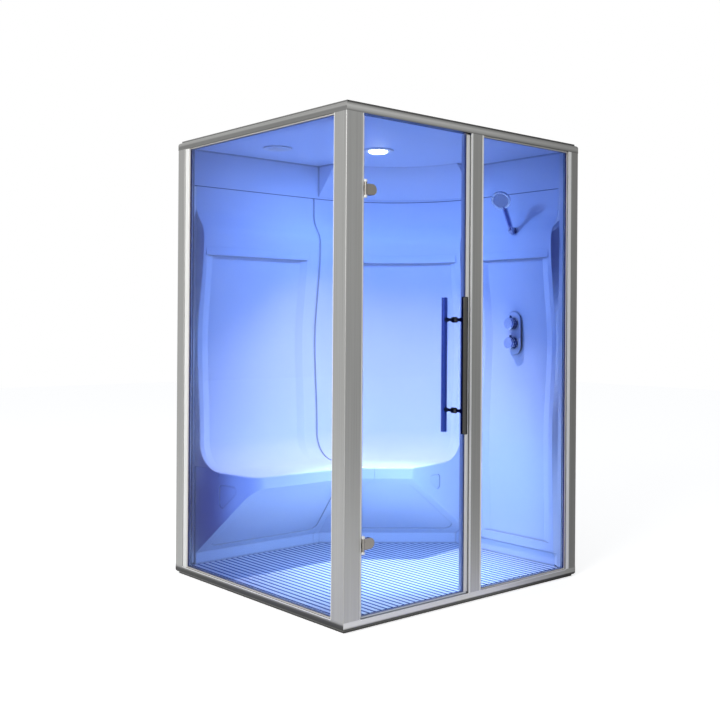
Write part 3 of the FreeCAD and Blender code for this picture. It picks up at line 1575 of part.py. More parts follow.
def make_shower():
    pivot = (size.shower_pivot_x, size.shower_y, size.shower_height)
    half_lug = size.union_lug_width / 2
    knuckle = size.pivot_knuckle_radius
    boss_front = size.shower_pivot_x + knuckle + size.cut_overrun / 4
    boss = rod_along_x("union_boss", (boss_front, size.shower_y, size.shower_height), size.union_radius,
                       size.wall_right_x + size.shell_thickness - boss_front + size.fit_clearance)
    tail_start = size.wall_right_x + size.shell_thickness + size.fit_clearance
    tail = box("union_block",
               (tail_start, size.shower_y - size.union_tail, size.shower_height - size.union_tail),
               (size.cladding_right_face, size.shower_y + size.union_tail,
                size.shower_height + size.union_tail))
    lug = box("union_lug", (size.shower_pivot_x, size.shower_y - half_lug, size.shower_height - knuckle),
              (boss_front + size.fit_clearance, size.shower_y + half_lug, size.shower_height + knuckle))
    nose = rod_along_y("union_nose", (size.shower_pivot_x, size.shower_y - half_lug, size.shower_height),
                       knuckle, size.union_lug_width)
    hole_start = (size.shower_pivot_x, size.shower_y - size.union_lug_width, size.shower_height)
    hole = rod_along_y("union_hole", hole_start, size.pivot_pin_radius + size.running_clearance,
                       2 * size.union_lug_width)
    keep(cut_away("union_cut", join("union_solid", [boss, tail, lug, nose]), [hole]), "shower_union")
    make_shower_arm(pivot, half_lug + size.fit_clearance, knuckle)


def make_shower_arm(pivot, gap, knuckle):
    """The arm with its fork and round head, built upright at the pivot and then leaned into the room."""
    lean = FreeCAD.Rotation(ALONG_Y, -float(size.arm_lean_degrees))
    origin = vector(*pivot)
    cheek = float(size.fork_cheek_width)
    cheeks = [Part.makeCylinder(float(knuckle), cheek, vector(0, start, 0), ALONG_Y)
              for start in (float(gap), -float(gap) - cheek)]
    crown_start = float(knuckle) + float(size.fit_clearance) + float(size.running_clearance)
    webs = [Part.makeBox(float(knuckle), cheek, crown_start + cheek, vector(-knuckle / 2, start, 0))
            for start in (float(gap), -float(gap) - cheek)]
    crown = Part.makeBox(float(knuckle), 2 * (float(gap) + cheek), cheek,
                         vector(-knuckle / 2, -float(gap) - cheek, crown_start))
    pin = Part.makeCylinder(float(size.pivot_pin_radius), 2 * (float(gap) + cheek),
                            vector(0, -float(gap) - cheek, 0), ALONG_Y)
    grip_length = float(size.arm_length - size.head_back_radius) - crown_start
    grip = Part.makeCone(float(size.arm_root_radius), float(size.arm_top_radius), grip_length,
                         vector(0, 0, crown_start), UP)
    neck = Part.makeSphere(float(size.arm_top_radius), vector(0, 0, size.arm_length - size.head_back_radius))
    arm = crown.fuse(cheeks + webs + [pin, grip, neck])
    twist = FreeCAD.Rotation(UP, float(size.head_twist_degrees))
    head_turn = twist.multiply(FreeCAD.Rotation(ALONG_Y, -float(size.head_tilt_degrees)))
    head_at = vector(0, 0, size.arm_length) + head_turn.multVec(UP) * float(size.head_back_height / 2)
    seat = FreeCAD.Placement(head_at, head_turn)
    face_bottom = vector(0, 0, size.head_thickness - size.spray_face_thickness)
    head_solid = head_shape()
    head_solid.Placement = seat
    face_thickness = float(size.spray_face_thickness)
    face_space = Part.makeCylinder(float(size.spray_face_radius), face_thickness, face_bottom)
    face_space.Placement = seat
    add_turned_piece("shower_arm", arm.fuse(head_solid).cut(face_space), origin, lean)
    plate = Part.makeCylinder(float(size.spray_face_radius - size.fit_clearance), face_thickness, face_bottom)
    plate.Placement = seat
    add_turned_piece("shower_spray_face", plate, origin, lean)


def head_shape():
    """A shallow dish: a flat rim disc with a domed back."""
    disc = Part.makeCylinder(float(size.head_radius), float(size.head_thickness))
    dome = Part.makeCone(float(size.head_back_radius), float(size.head_radius), float(size.head_back_height),
                         vector(0, 0, -size.head_back_height))
    return disc.fuse(dome)


def add_turned_piece(label, shape, origin, turn):
    piece = doc.addObject("Part::Feature", label)
    piece.Shape = shape.removeSplitter()
    piece.Placement = FreeCAD.Placement(origin, turn)
    keep(piece, label)


# Door

HINGE_HEIGHTS = (size.hinge_low_height, size.hinge_high_height)


def make_door_glass():
    pane = box("door_pane", (size.door_left, size.glass_front_face, size.door_bottom),
               (size.door_right, size.glass_front_back, size.door_top))
    start = size.glass_front_face - size.cut_overrun
    reach = 2 * size.cut_overrun + size.glass_thickness
    holes = []
    for height in HINGE_HEIGHTS:
        holes += [rod_along_y("clamp_hole", (x, start, z), size.clamp_screw_hole_radius, reach)
                  for x, z in clamp_screw_places(height)]
    holes += [rod_along_y("pull_hole", (size.pull_x, start, height), size.pull_hole_radius, reach)
              for height in pull_fixing_heights()]
    keep(cut_away("door_pane_cut", pane, holes), "door_glass")


def clamp_left():
    return size.door_left + size.clamp_edge_gap


def clamp_screw_places(height):
    x = clamp_left() + size.clamp_width / 3
    return [(x, height + hand * size.clamp_height / 4) for hand in (-1, 1)]


def pull_fixing_heights():
    return [size.pull_centre_height + hand * size.pull_fixing_spread / 2 for hand in (-1, 1)]


def clamp_plate(name, y, height):
    """A plate with one round end, flat against the glass."""
    half = size.clamp_height / 2
    left = clamp_left()
    straight = left + size.clamp_width - half
    corners = [(left, height - half), (straight, height - half), (straight + half, height),
               (straight, height + half), (left, height + half)]
    outline = (corners, {1: (half, 1), 2: (half, 1)})
    body = extruded(name, "XZ_Plane", [outline], size.clamp_thickness, backwards=True)
    return place(body, (0, y, 0))


def make_hinges():
    barrel_half = size.hinge_barrel_height / 2
    middle_half = size.hinge_middle_height / 2
    leaves, pins, outers, inners, screws = [], [], [], [], []
    for height in HINGE_HEIGHTS:
        leaves.append(post_leaf(height, barrel_half, middle_half))
        pins.append(hinge_pin(height, barrel_half))
        outers.append(outer_clamp(height, middle_half))
        inners.append(inner_clamp(height))
        for x, z in clamp_screw_places(height):
            screws.append(rod_along_y("clamp_screw", (x, size.glass_front_face, z), size.clamp_screw_radius,
                                      size.glass_thickness + size.clamp_thickness))
    keep(group("leaf_group", leaves), "hinge_post_leaves")
    keep(group("pin_group", pins), "hinge_pins")
    keep(group("outer_clamp_group", outers), "hinge_clamps_outer")
    keep(group("inner_clamp_group", inners), "hinge_clamps_inner")
    keep(group("screw_group", screws), "hinge_clamp_screws")


def post_leaf(height, barrel_half, middle_half):
    """A leaf on the side of the corner post with a knuckle at its top and bottom."""
    post_side = size.corner_post_inner_x
    plate = box("leaf_plate", (post_side, -size.half_depth, height - barrel_half),
                (post_side + size.hinge_leaf_thickness, size.hinge_leaf_width - size.half_depth,
                 height + barrel_half))
    pieces = [plate]
    knuckle_height = barrel_half - middle_half - size.fit_clearance
    for bottom in (height - barrel_half, height + middle_half + size.fit_clearance):
        pieces.append(cylinder("leaf_knuckle", (size.hinge_x, size.hinge_y, bottom), size.hinge_barrel_radius,
                               knuckle_height))
        pieces.append(box("leaf_web", (post_side, size.hinge_y, bottom),
                          (size.hinge_x, size.hinge_leaf_thickness - size.half_depth,
                           bottom + knuckle_height)))
    hole = cylinder("leaf_hole", (size.hinge_x, size.hinge_y, height - 2 * barrel_half),
                    size.hinge_pin_radius, 4 * barrel_half)
    return cut_away("leaf", join("leaf_solid", pieces), [hole])


def hinge_pin(height, barrel_half):
    shaft = cylinder("pin_shaft", (size.hinge_x, size.hinge_y, height - barrel_half), size.hinge_pin_radius,
                     2 * barrel_half)
    heads = [cylinder("pin_head", (size.hinge_x, size.hinge_y, bottom), size.hinge_barrel_radius,
                      size.hinge_pin_head)
             for bottom in (height - barrel_half - size.hinge_pin_head, height + barrel_half)]
    return join("pin", [shaft] + heads)


def outer_clamp(height, middle_half):
    """The plate outside the glass, with the middle knuckle that turns on the pin."""
    plate = clamp_plate("outer_plate", size.glass_front_face - size.clamp_thickness, height)
    knuckle = cylinder("clamp_knuckle", (size.hinge_x, size.hinge_y, height - middle_half),
                       size.hinge_barrel_radius, 2 * middle_half)
    web = box("clamp_web", (size.hinge_x, size.hinge_y, height - middle_half),
              (clamp_left() + size.clamp_thickness, size.glass_front_face - size.clamp_thickness / 2,
               height + middle_half))
    hole = cylinder("clamp_pin_hole", (size.hinge_x, size.hinge_y, height - size.hinge_barrel_height),
                    size.hinge_pin_radius + size.running_clearance, 2 * size.hinge_barrel_height)
    return cut_away("outer_clamp", join("outer_clamp_solid", [plate, knuckle, web]), [hole])


def inner_clamp(height):
    plate = clamp_plate("inner_plate", size.glass_front_back, height)
    start = size.glass_front_back - size.cut_overrun
    holes = [rod_along_y("inner_hole", (x, start, z), size.clamp_screw_radius, 2 * size.cut_overrun)
             for x, z in clamp_screw_places(height)]
    return cut_away("inner_clamp", plate, holes)


def make_door_seals():
    seal = size.door_seal_thickness
    front = size.glass_front_face - (seal - size.glass_thickness) / 2
    back = front + seal
    hinge_side = size.corner_post_inner_x + size.hinge_axis_inset
    keep(box("hinge_seal", (hinge_side, front, size.door_bottom), (size.door_left, back, size.door_top)),
         "door_seal_hinge")
    keep(box("latch_seal", (size.door_right, front, size.door_bottom),
             (size.mullion_left - size.door_seal_gap, back, size.door_top)), "door_seal_latch")
    keep(box("sweep", (size.door_left, front, size.opening_bottom + size.door_seal_gap),
             (size.door_right, back, size.door_bottom)), "door_seal_bottom")
    stop_front = back + size.door_seal_gap
    keep(box("stop", (size.mullion_left - size.door_stop_width, stop_front, size.opening_bottom),
             (size.mullion_left, stop_front + size.door_stop_depth, size.opening_top)), "door_stop")


def pull_bar(name, y):
    """A round bar with bevelled ends."""
    half = size.pull_length / 2
    bevel = size.pull_end_bevel
    radius = size.pull_radius
    body = turned(name, [(0, -half), (radius - bevel, -half), (radius, bevel - half), (radius, half - bevel),
                         (radius - bevel, half), (0, half)])
    return place(body, (size.pull_x, y, size.pull_centre_height))


def pull_foot(name, face_y, hand, height):
    """A turned foot that stands on the glass and narrows to the bar."""
    reach = size.pull_projection
    foot = size.pull_foot_radius
    neck = size.pull_neck_radius
    collar = foot - size.pull_end_bevel
    body = turned(name, [(0, 0), (foot, 0), (foot, size.pull_foot_thickness),
                         (neck, size.pull_foot_thickness * 2), (neck, reach / 2),
                         (collar, reach - size.pull_radius - size.pull_end_bevel), (collar, reach),
                         (0, reach)])
    return place(body, (size.pull_x, face_y, height), ALONG_X, hand * QUARTER_TURN)


def make_pull():
    sides = (("outer", size.glass_front_face, 1), ("inner", size.glass_front_back, -1))
    feet = []
    for side, face_y, hand in sides:
        bar = keep(pull_bar(f"bar_{side}", face_y - hand * size.pull_projection), f"pull_bar_{side}")
        for height in pull_fixing_heights():
            feet.append(cut_away("foot_cut", pull_foot("foot", face_y, hand, height), [bar]))
    keep(group("foot_group", feet), "pull_feet")
    bolts = [rod_along_y("bolt", (size.pull_x, size.glass_front_face, height), size.pull_bolt_radius,
                         size.glass_thickness) for height in pull_fixing_heights()]
    keep(group("bolt_group", bolts), "pull_bolts")


def check_and_export():
    doc.recompute()
    for thing in doc.Objects:
        if "Invalid" in thing.State or "Error" in thing.State:
            raise ValueError(f"{thing.Label}: {thing.State}")
    for node in nodes:
        if node.Shape.isNull() or not node.Shape.isValid():
            raise ValueError(f"{node.Label}: bad shape")
    os.makedirs("parts", exist_ok=True)
    for node in nodes:
        node.Shape.exportStep(f"parts/{node.Label}.step")
        print(node.Label, len(node.Shape.Solids), "solids", round(node.Shape.Volume / 1000), "cm3")


make_rails()
make_cleats()
make_posts()
make_fixed_glazing()
make_tray()
make_drain()
make_grating()
make_bench_walls()
make_right_wall()
make_roof_liner()
make_outer_panels()
make_lamp()
make_vent()
make_steam_outlet()
make_valve()
make_shower()
make_door_glass()
make_hinges()
make_door_seals()
make_pull()
check_and_export()
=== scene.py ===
import bpy
import bmesh
import json
import math
from mathutils import Matrix, Vector
from mathutils.bvhtree import BVHTree


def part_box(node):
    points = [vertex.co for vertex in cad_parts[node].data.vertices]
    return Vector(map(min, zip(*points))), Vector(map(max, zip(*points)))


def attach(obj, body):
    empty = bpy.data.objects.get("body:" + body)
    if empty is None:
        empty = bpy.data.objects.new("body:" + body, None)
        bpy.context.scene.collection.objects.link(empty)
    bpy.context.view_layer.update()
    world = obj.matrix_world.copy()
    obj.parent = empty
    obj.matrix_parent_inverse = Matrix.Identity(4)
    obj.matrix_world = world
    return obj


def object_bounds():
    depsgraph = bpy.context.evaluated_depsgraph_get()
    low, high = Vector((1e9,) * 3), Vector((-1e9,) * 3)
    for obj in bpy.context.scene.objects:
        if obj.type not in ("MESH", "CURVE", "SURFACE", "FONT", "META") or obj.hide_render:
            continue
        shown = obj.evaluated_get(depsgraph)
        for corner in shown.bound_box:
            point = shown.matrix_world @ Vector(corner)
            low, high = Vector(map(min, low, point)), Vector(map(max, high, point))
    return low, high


# A steam cabin: satin aluminium frame, clear glass, white acrylic lining under a blue ceiling lamp.
# Metres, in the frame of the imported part: +Z up, the door towards -Y, the glass side towards -X.

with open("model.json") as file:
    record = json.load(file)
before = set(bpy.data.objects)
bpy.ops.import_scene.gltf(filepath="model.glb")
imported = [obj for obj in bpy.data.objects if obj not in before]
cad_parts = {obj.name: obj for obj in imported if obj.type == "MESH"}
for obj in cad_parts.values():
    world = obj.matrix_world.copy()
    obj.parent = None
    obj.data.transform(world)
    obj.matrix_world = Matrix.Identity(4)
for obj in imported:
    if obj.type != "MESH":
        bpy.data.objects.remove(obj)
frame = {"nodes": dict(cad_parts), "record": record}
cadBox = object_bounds()
nodes = frame["nodes"]
scene = bpy.context.scene
mm = 0.001
print("frame loaded with", len(nodes), "nodes")


def linear(hexColour):
    channels = [int(hexColour[place:place + 2], 16) / 255 for place in (1, 3, 5)]
    toned = [c / 12.92 if c <= 0.04045 else ((c + 0.055) / 1.055) ** 2.4 for c in channels]
    return (*toned, 1.0)


def addNode(tree, kind, inputs=None, **settings):
    node = tree.nodes.new(kind)
    for name, value in settings.items():
        setattr(node, name, value)
    for socket, value in (inputs or {}).items():
        if isinstance(value, bpy.types.NodeSocket):
            tree.links.new(value, node.inputs[socket])
        else:
            node.inputs[socket].default_value = value
    return node


def newMaterial(name):
    material = bpy.data.materials.new(name)
    material.use_nodes = True
    material.node_tree.nodes.clear()
    return material, material.node_tree


def closeMaterial(tree, shader):
    addNode(tree, "ShaderNodeOutputMaterial", {"Surface": shader})


def perMetre(patternMm):
    return 1 / (patternMm * mm)


# metals

anodised = {"colour": "#afafad", "darkColour": "#949492", "underShadeColour": "#3f3f3c", "roughness": (0.3, 0.42),
            "streakMm": 4.0, "streakLengthMm": 700.0, "streakDetail": 4.0, "grainBump": 0.05, "grainMm": 0.2,
            "underFrom": -0.05, "underTo": -0.6, "railMm": 44.0}
# light and shade up the rails' section, along X and then along Y: (height in mm, share of full colour)
footBands = [[(0, 0.26), (6, 0.12), (18, 0.2), (24, 1.45)], [(0, 0.22), (8, 0.08), (32, 0.2), (40, 0.85)]]
headBands = [[(0, 0.5), (8, 1.1), (18, 1.5), (30, 1.3), (36, 0.4), (44, 0.15)],
             [(0, 0.55), (16, 0.55), (22, 0.95), (34, 0.9), (40, 0.5), (44, 0.4)]]


def bandRamp(tree, height, base, bands):
    share = addNode(tree, "ShaderNodeMapRange", {"Value": height, "From Min": base,
                                                 "From Max": base + anodised["railMm"] * mm})
    ramp = addNode(tree, "ShaderNodeValToRGB", {"Fac": share.outputs["Result"]})
    while len(ramp.color_ramp.elements) < len(bands):
        ramp.color_ramp.elements.new(1.0)
    for element, (place, level) in zip(ramp.color_ramp.elements, bands):
        element.position = place / anodised["railMm"]
        element.color = (level, level, level, 1)
    return ramp.outputs["Color"]


def anodisedAluminium(axis):
    # Extruded, etched and anodised aluminium: a soft grey sheen with faint die lines along the bar.
    # The die lines are drawn coarser than the real 0.3 mm so that they show.
    material, tree = newMaterial("anodisedAluminiumAlong" + "XYZ"[axis])
    place = addNode(tree, "ShaderNodeTexCoord")
    stretch = [perMetre(anodised["streakMm"])] * 3
    stretch[axis] = perMetre(anodised["streakLengthMm"])
    mapped = addNode(tree, "ShaderNodeMapping", {"Vector": place.outputs["Object"], "Scale": stretch})
    streaks = addNode(tree, "ShaderNodeTexNoise", {"Vector": mapped.outputs["Vector"], "Scale": 1.0,
                                                   "Detail": anodised["streakDetail"]})
    tone = addNode(tree, "ShaderNodeMix", {
        "Factor": streaks.outputs["Fac"], 6: linear(anodised["darkColour"]), 7: linear(anodised["colour"])},
        data_type="RGBA").outputs[2]
    facing = addNode(tree, "ShaderNodeNewGeometry")
    slope = addNode(tree, "ShaderNodeSeparateXYZ", {"Vector": facing.outputs["Normal"]})
    # painted shade: faces turned downwards are darkened towards a dark grey
    under = addNode(tree, "ShaderNodeMapRange", {
        "Value": slope.outputs["Z"], "From Min": anodised["underFrom"], "From Max": anodised["underTo"]})
    if axis < 2:
        # painted light and shade up the rails' section: their rounds and set-back lips are painted darker
        # than their flat faces
        height = addNode(tree, "ShaderNodeSeparateXYZ", {"Vector": place.outputs["Object"]}).outputs["Z"]
        railTop = cadBox[1][2] - anodised["railMm"] * mm
        atTop = addNode(tree, "ShaderNodeMath", {0: height, 1: railTop - mm}, operation="GREATER_THAN")
        bands = addNode(tree, "ShaderNodeMix", {
            "Factor": atTop.outputs[0], 6: bandRamp(tree, height, 0, footBands[axis]),
            7: bandRamp(tree, height, railTop, headBands[axis])}, data_type="RGBA")
        tone = addNode(tree, "ShaderNodeMix", {"Factor": 1.0, 6: tone, 7: bands.outputs[2]}, data_type="RGBA",
                       blend_type="MULTIPLY").outputs[2]
    shaded = addNode(tree, "ShaderNodeMix", {"Factor": under.outputs["Result"], 6: tone,
                                             7: linear(anodised["underShadeColour"])}, data_type="RGBA")
    low, high = anodised["roughness"]
    rough = addNode(tree, "ShaderNodeMapRange", {
        "Value": streaks.outputs["Fac"], "To Min": low, "To Max": high})
    bump = addNode(tree, "ShaderNodeBump", {
        "Height": streaks.outputs["Fac"], "Strength": anodised["grainBump"],
        "Distance": anodised["grainMm"] * mm})
    metal = addNode(tree, "ShaderNodeBsdfPrincipled", {
        "Base Color": shaded.outputs[2], "Metallic": 1.0, "Roughness": rough.outputs["Result"],
        "Normal": bump.outputs["Normal"]})
    closeMaterial(tree, metal.outputs["BSDF"])
    return material


smallMetal = {"cloudDetail": 5.0, "bump": 0.03, "bumpMm": 0.1}


def plainMetal(name, colour, roughness, smudge, patternMm):
    # One shared recipe for the small metal parts: even colour, roughness clouded by handling and cleaning.
    material, tree = newMaterial(name)
    place = addNode(tree, "ShaderNodeTexCoord")
    cloud = addNode(tree, "ShaderNodeTexNoise", {
        "Vector": place.outputs["Object"], "Scale": perMetre(patternMm), "Detail": smallMetal["cloudDetail"]})
    rough = addNode(tree, "ShaderNodeMapRange", {"Value": cloud.outputs["Fac"], "To Min": roughness,
                                                 "To Max": roughness + smudge})
    bump = addNode(tree, "ShaderNodeBump", {
        "Height": cloud.outputs["Fac"], "Strength": smallMetal["bump"],
        "Distance": smallMetal["bumpMm"] * mm})
    metal = addNode(tree, "ShaderNodeBsdfPrincipled", {
        "Base Color": linear(colour), "Metallic": 1.0, "Roughness": rough.outputs["Result"],
        "Normal": bump.outputs["Normal"]})
    closeMaterial(tree, metal.outputs["BSDF"])
    return material


knobChrome = {"capColour": "#e2e6f2", "gripColour": "#39446e", "capShare": 0.12, "glintMm": 9.0,
              "glintDetail": 1.0, "glintFrom": 0.6, "glintTo": 0.66, "roughness": 0.16}


def chromePlatedKnob():
    # Chrome-plated ABS: a pale cap on a darker mirror-bright grip, with painted highlights in flecks over the
    # grip.
    material, tree = newMaterial("chromePlatedKnob")
    place = addNode(tree, "ShaderNodeTexCoord")
    apart = addNode(tree, "ShaderNodeSeparateXYZ", {"Vector": place.outputs["Object"]})
    low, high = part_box("knob_upper")
    capEdge = low[0] + knobChrome["capShare"] * (high[0] - low[0])
    cap = addNode(tree, "ShaderNodeMath", {0: apart.outputs["X"], 1: capEdge}, operation="LESS_THAN")
    # painted highlights: pale flecks from a noise stand in for glints on the grip
    glintNoise = addNode(tree, "ShaderNodeTexNoise", {
        "Vector": place.outputs["Object"], "Scale": perMetre(knobChrome["glintMm"]),
        "Detail": knobChrome["glintDetail"]})
    glints = addNode(tree, "ShaderNodeMapRange", {
        "Value": glintNoise.outputs["Fac"], "From Min": knobChrome["glintFrom"],
        "From Max": knobChrome["glintTo"]})
    pale = addNode(tree, "ShaderNodeMath", {0: cap.outputs[0], 1: glints.outputs["Result"]},
                   operation="MAXIMUM")
    tone = addNode(tree, "ShaderNodeMix", {"Factor": pale.outputs[0], 6: linear(knobChrome["gripColour"]),
                                           7: linear(knobChrome["capColour"])}, data_type="RGBA")
    metal = addNode(tree, "ShaderNodeBsdfPrincipled", {"Base Color": tone.outputs[2], "Metallic": 1.0,
                                                       "Roughness": knobChrome["roughness"]})
    closeMaterial(tree, metal.outputs["BSDF"])
    return material


# moulded plastics and rubber

moulding = {"peelDetail": 3.0, "bumpMm": 0.2, "cloudTimes": 40, "cloudDetail": 2.0, "dullTimes": 1.3,
            "ior": 1.49}


def mouldedPlastic(name, colour, shadeColour, roughness, peelMm, peelBump):
    # Moulded or extruded plastic and rubber: smooth, with a fine orange peel and a slight change of tone.
    material, tree = newMaterial(name)
    place = addNode(tree, "ShaderNodeTexCoord")
    peel = addNode(tree, "ShaderNodeTexNoise", {
        "Vector": place.outputs["Object"], "Scale": perMetre(peelMm), "Detail": moulding["peelDetail"]})
    cloud = addNode(tree, "ShaderNodeTexNoise", {
        "Vector": place.outputs["Object"], "Scale": perMetre(moulding["cloudTimes"] * peelMm),
        "Detail": moulding["cloudDetail"]})
    tone = addNode(tree, "ShaderNodeMix", {"Factor": cloud.outputs["Fac"], 6: linear(shadeColour),
                                           7: linear(colour)}, data_type="RGBA")
    rough = addNode(tree, "ShaderNodeMapRange", {"Value": cloud.outputs["Fac"], "To Min": roughness,
                                                 "To Max": roughness * moulding["dullTimes"]})
    bump = addNode(tree, "ShaderNodeBump", {"Height": peel.outputs["Fac"], "Strength": peelBump,
                                            "Distance": moulding["bumpMm"] * mm})
    plastic = addNode(tree, "ShaderNodeBsdfPrincipled", {
        "Base Color": tone.outputs[2], "Roughness": rough.outputs["Result"], "IOR": moulding["ior"],
        "Normal": bump.outputs["Normal"]})
    closeMaterial(tree, plastic.outputs["BSDF"])
    return material


acrylic = {"colour": "#eaeff8", "shadeColour": "#e1e8f4", "roughness": 0.32, "ior": 1.49, "edgeMm": 5.0,
           "edgeSamples": 6, "waveMm": 260.0, "waveDetail": 1.0, "waveBump": 0.25, "waveBumpMm": 4.0,
           "peelMm": 6.0, "peelDetail": 2.0, "peelBump": 0.04, "peelBumpMm": 0.3, "nookMm": 14.0,
           "nookSamples": 8, "nookFrom": 0.55, "nookTo": 0.95, "nookShade": 0.58}


def vacuumFormedAcrylic():
    # Vacuum-formed white acrylic: a soft gloss, slightly wavy over long distances, with soft drawn edges.
    material, tree = newMaterial("vacuumFormedAcrylic")
    place = addNode(tree, "ShaderNodeTexCoord")
    wave = addNode(tree, "ShaderNodeTexNoise", {
        "Vector": place.outputs["Object"], "Scale": perMetre(acrylic["waveMm"]),
        "Detail": acrylic["waveDetail"]})
    peel = addNode(tree, "ShaderNodeTexNoise", {
        "Vector": place.outputs["Object"], "Scale": perMetre(acrylic["peelMm"]),
        "Detail": acrylic["peelDetail"]})
    tone = addNode(tree, "ShaderNodeMix", {"Factor": wave.outputs["Fac"], 6: linear(acrylic["shadeColour"]),
                                           7: linear(acrylic["colour"])}, data_type="RGBA")
    # steps and seams look darker than they can be drawn at this size, so their nooks hold more shade
    nook = addNode(tree, "ShaderNodeAmbientOcclusion", {"Distance": acrylic["nookMm"] * mm},
                   samples=acrylic["nookSamples"])
    shade = addNode(tree, "ShaderNodeMapRange", {
        "Value": nook.outputs["AO"], "From Min": acrylic["nookFrom"], "From Max": acrylic["nookTo"],
        "To Min": acrylic["nookShade"], "To Max": 1.0})
    skinColour = addNode(tree, "ShaderNodeMix", {
        "Factor": 1.0, 6: tone.outputs[2], 7: shade.outputs["Result"]},
        data_type="RGBA", blend_type="MULTIPLY")
    softEdge = addNode(tree, "ShaderNodeBevel", {"Radius": acrylic["edgeMm"] * mm},
                       samples=acrylic["edgeSamples"])
    waves = addNode(tree, "ShaderNodeBump", {
        "Height": wave.outputs["Fac"], "Strength": acrylic["waveBump"],
        "Distance": acrylic["waveBumpMm"] * mm, "Normal": softEdge.outputs["Normal"]})
    skin = addNode(tree, "ShaderNodeBump", {
        "Height": peel.outputs["Fac"], "Strength": acrylic["peelBump"],
        "Distance": acrylic["peelBumpMm"] * mm, "Normal": waves.outputs["Normal"]})
    plastic = addNode(tree, "ShaderNodeBsdfPrincipled", {
        "Base Color": skinColour.outputs[2], "Roughness": acrylic["roughness"], "IOR": acrylic["ior"],
        "Normal": skin.outputs["Normal"]})
    closeMaterial(tree, plastic.outputs["BSDF"])
    return material


# glass, lamp and floor

glass = {"colour": "#f4f9fb", "shine": "#ffffff", "shade": "#2f4cb4", "mirrored": "#8698d8", "ior": 1.5,
         "mirrorShare": 0.5, "facingBlend": 0.5, "risePower": 5.0}


def toughenedGlass():
    # Clear toughened float glass: weak sharp reflections and a faint cold tint. The blue of the cabin hangs
    # in it, so that the light which passes it, and what the shining parts inside see through it, is blue.
    material, tree = newMaterial("toughenedGlass")
    path = addNode(tree, "ShaderNodeLightPath")
    soft = addNode(tree, "ShaderNodeMath", {
        0: path.outputs["Is Shadow Ray"], 1: path.outputs["Is Diffuse Ray"]}, operation="MAXIMUM")
    # a thin pane bends no light: each face mirrors by the usual rise towards a grazing view
    straight = ((glass["ior"] - 1) / (glass["ior"] + 1)) ** 2 * glass["mirrorShare"]
    edgeOn = addNode(tree, "ShaderNodeLayerWeight", {"Blend": glass["facingBlend"]})
    rise = addNode(tree, "ShaderNodeMath", {0: edgeOn.outputs["Facing"], 1: glass["risePower"]},
                   operation="POWER")
    mirror = addNode(tree, "ShaderNodeMath", {
        0: rise.outputs[0], 1: glass["mirrorShare"] - straight, 2: straight}, operation="MULTIPLY_ADD")
    clear = addNode(tree, "ShaderNodeBsdfTransparent", {"Color": linear(glass["colour"])})
    shine = addNode(tree, "ShaderNodeBsdfGlossy", {"Color": linear(glass["shine"]), "Roughness": 0.0})
    pane = addNode(tree, "ShaderNodeMixShader", {0: mirror.outputs[0], 1: clear.outputs["BSDF"],
                                                 2: shine.outputs["BSDF"]})
    pale = addNode(tree, "ShaderNodeBsdfTransparent", {"Color": linear(glass["mirrored"])})
    shown = addNode(tree, "ShaderNodeMixShader", {0: path.outputs["Is Glossy Ray"], 1: pane.outputs["Shader"],
                                                  2: pale.outputs["BSDF"]})
    blue = addNode(tree, "ShaderNodeBsdfTransparent", {"Color": linear(glass["shade"])})
    mixed = addNode(tree, "ShaderNodeMixShader", {0: soft.outputs[0], 1: shown.outputs["Shader"],
                                                  2: blue.outputs["BSDF"]})
    closeMaterial(tree, mixed.outputs["Shader"])
    return material


slats = {"colour": "#f4f8f9", "shadeColour": "#e8eef1", "grooveShadeColour": "#2c4186", "edgeShadeColour": "#4f6fae",
         "roughness": 0.45, "ior": 1.5, "grainMm": 3.0, "grainDetail": 3.0, "grainBump": 0.05,
         "grainBumpMm": 0.2, "topMm": 42.0, "skinMm": 1.0, "pitchMm": 33.0, "grooveMm": 5.0,
         "edgeShadeMm": (4.0, 8.0)}


